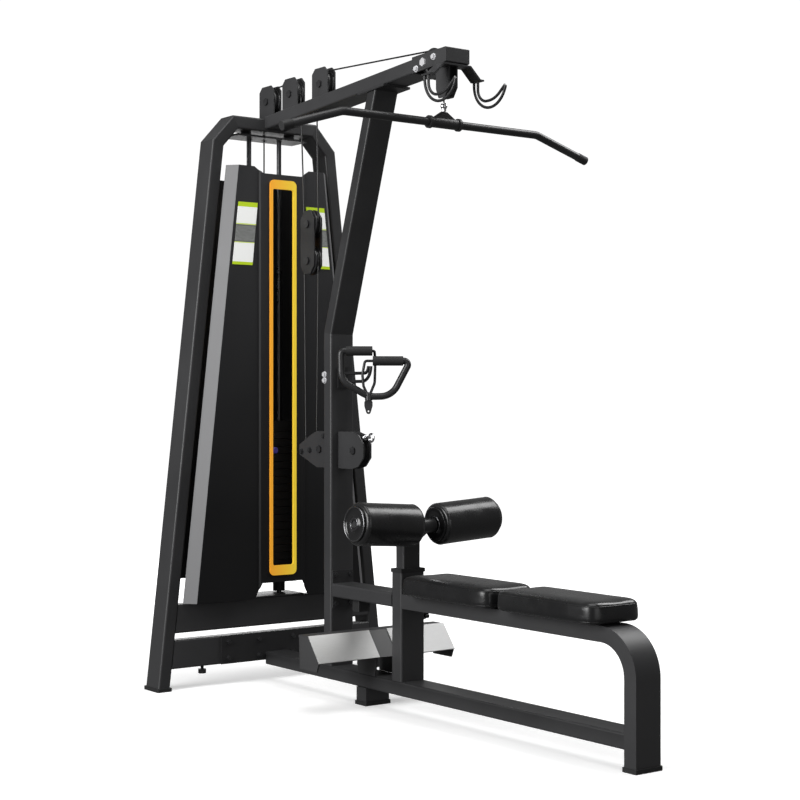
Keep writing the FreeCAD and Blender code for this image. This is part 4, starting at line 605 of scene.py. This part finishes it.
def pad_cushion(node):
    """A seat pad: the CAD solid, remeshed, swollen by cloth pressure, smoothed and crowned.
    """
    low, high = (Vector(corner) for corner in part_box(node))
    centre, half = (low + high) / 2.0, (high - low) / 2.0
    mesh = frame["nodes"][node].data.copy()
    mesh.name = f"{node}_cover"
    mesh.materials.clear()
    cushion = new_object(f"{node}_cover", mesh, seat_vinyl)
    shrink = [(half[i] - PAD_INSET) / half[i] for i in range(3)]
    for vertex in mesh.vertices:
        offset = vertex.co - centre
        vertex.co = Vector((centre[i] + offset[i] * shrink[i] for i in range(3)))
        vertex.co.z -= PAD_LOWERED
    apply_modifier(cushion, "REMESH", mode="VOXEL", voxel_size=VOXEL)
    base_z = min(vertex.co.z for vertex in cushion.data.vertices)
    inflate(cushion, base_z, SWELL_CAP)
    apply_modifier(cushion, "SMOOTH", factor=0.5, iterations=SMOOTH_STEPS)
    for vertex in cushion.data.vertices:
        vertex.co.z = base_z if vertex.co.z < base_z + FLAT_BASE else vertex.co.z
        across = abs(vertex.co.x - centre.x) / half.x
        along = abs(vertex.co.y - centre.y) / half.y
        crown = max(0.0, 1.0 - across ** 2.6) * max(0.0, 1.0 - along ** 5.0)
        share = max(0.0, min(1.0, (vertex.co.z - base_z) / (2.0 * half.z)))
        vertex.co.z += CROWN * crown * share
        vertex.co.x = max(low.x + SIDE_GAP, min(high.x - SIDE_GAP, vertex.co.x))
    apply_modifier(cushion, "SUBSURF", levels=1)
    for face in cushion.data.polygons:
        face.use_smooth = True
    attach(cushion, "frame")
    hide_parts(node)
    return cushion, centre, half


def outline_path(cushion, centre, half, z):
    """Points round a cushion's side at one height, found by casting rays inward from outside."""

    def on_oval(angle, grown):
        """A point on a squarish oval, the cushion's outline grown by a part of its half width."""
        x, y = math.cos(angle), math.sin(angle)
        power = (abs(x) ** 6 + abs(y) ** 6) ** (-1.0 / 6.0)
        return Vector((centre.x + half.x * (1.0 + grown) * x * power,
                       centre.y + (half.y + half.x * grown) * y * power, z))

    points = []
    for i in range(WELT_POINTS):
        angle = 2.0 * math.pi * i / WELT_POINTS
        start = on_oval(angle, 0.4)
        hit, spot, normal, _ = cushion.ray_cast(start, (on_oval(angle, -0.6) - start).normalized())
        if hit:
            points.append(spot - normal * WELT_SUNK)
    return points


def welt_along(name, points, sides=10):
    """A closed vinyl welt through points that all lie at nearly one height."""
    rings = []
    for i, spot in enumerate(points):
        run = (points[(i + 1) % len(points)] - points[i - 1]).normalized()
        side = run.cross(Vector((0, 0, 1))).normalized()
        rings.append(ring_at(spot, side, run.cross(side), WELT_R, sides))
    return new_object(name, rings_mesh(name, rings, True), seat_vinyl)


for node in ("seat_pad_inner", "seat_pad_outer"):
    cushion, centre, half = pad_cushion(node)
    for tag, part_height in WELT_HEIGHTS:
        path = outline_path(cushion, centre, half, centre.z + half.z * part_height)
        welt = welt_along(f"{node}_welt_{tag}", path)
        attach(welt, "frame")

# ---------------------------------------------------------------- floor, lights, backdrop
FLOOR_HALF, DOME_R = 60.0, 58.0


def hide_from(obj, *rays):
    """Keeps a stage object out of the given kinds of ray."""
    for ray in rays:
        setattr(obj, "visible_" + ray, False)


# The floor glows more with distance, so that it shows soft shadows under the machine and no horizon.
floor_mesh = bpy.data.meshes.new("floor")
corners = [(x * FLOOR_HALF, y * FLOOR_HALF, 0.0) for x, y in ((-1, -1), (1, -1), (1, 1), (-1, 1))]
floor_mesh.from_pydata(corners, [], [(0, 1, 2, 3)])
floor_look = Nodes("floor_look")
floor_cloud = floor_look.noise(0.6, 3.0)
reach = floor_look.add("VectorMath", operation="LENGTH")
floor_look.link(floor_look.position(), reach.inputs[0])
floor_look.set(Base_Color=floor_look.mix(floor_cloud, (0.84, 0.84, 0.84), (0.86, 0.86, 0.86)),
               Roughness=0.8, Specular_IOR_Level=0.0, Emission_Color=(1.0, 1.0, 1.0),
               Emission_Strength=floor_look.span(reach.outputs["Value"], 0.42, 1.0, 1.2, 5.0))
floor = new_object("floor", floor_mesh, floor_look.material)
hide_from(floor, "diffuse", "glossy")

bpy.ops.mesh.primitive_uv_sphere_add(segments=48, ring_count=24, radius=DOME_R, location=(0, 0, 0))
dome = bpy.context.object
dome.name = "backdrop"
dome_look = bpy.data.materials.new("backdrop_look")
dome_look.use_nodes = True
dome_tree = dome_look.node_tree
dome_tree.nodes.clear()
dome_glow = dome_tree.nodes.new("ShaderNodeEmission")
dome_glow.inputs["Strength"].default_value = 1.05
dome_out = dome_tree.nodes.new("ShaderNodeOutputMaterial")
dome_tree.links.new(dome_glow.outputs["Emission"], dome_out.inputs["Surface"])
dome.data.materials.append(dome_look)
hide_from(dome, "diffuse", "glossy", "transmission", "volume_scatter", "shadow")

world = bpy.data.worlds.new("studio")
world.use_nodes = True
background = world.node_tree.nodes["Background"]
background.inputs["Color"].default_value = (1.0, 1.0, 1.0, 1.0)
background.inputs["Strength"].default_value = 0.13
scene.world = world

# Soft boxes: (name, place, target, width, height, watts).
LIGHTS = (
    ("key", (-5.5, 0.2, 2.4), (0.0, 0.0, 1.1), 3.5, 3.5, 330),
    ("top", (-0.6, -0.8, 5.4), (0.0, 0.0, 0.8), 3.0, 4.0, 100),
    ("side", (3.4, -0.6, 4.4), (0.0, -0.3, 0.6), 2.2, 3.0, 130),
    ("rear", (1.8, 6.0, 2.6), (0.0, 0.0, 1.1), 3.0, 3.0, 90),
    ("front_card", (-1.0, -6.5, 1.6), (0.0, 0.0, 1.1), 4.0, 3.0, 40),
)
for name, place, target, width, height, watts in LIGHTS:
    lamp = bpy.data.lights.new(name, "AREA")
    lamp.shape = "RECTANGLE"
    lamp.size, lamp.size_y = width, height
    lamp.energy = watts
    light = bpy.data.objects.new(name, lamp)
    bpy.context.collection.objects.link(light)
    light.location = place
    light.rotation_euler = (Vector(target) - Vector(place)).to_track_quat("-Z", "Y").to_euler()
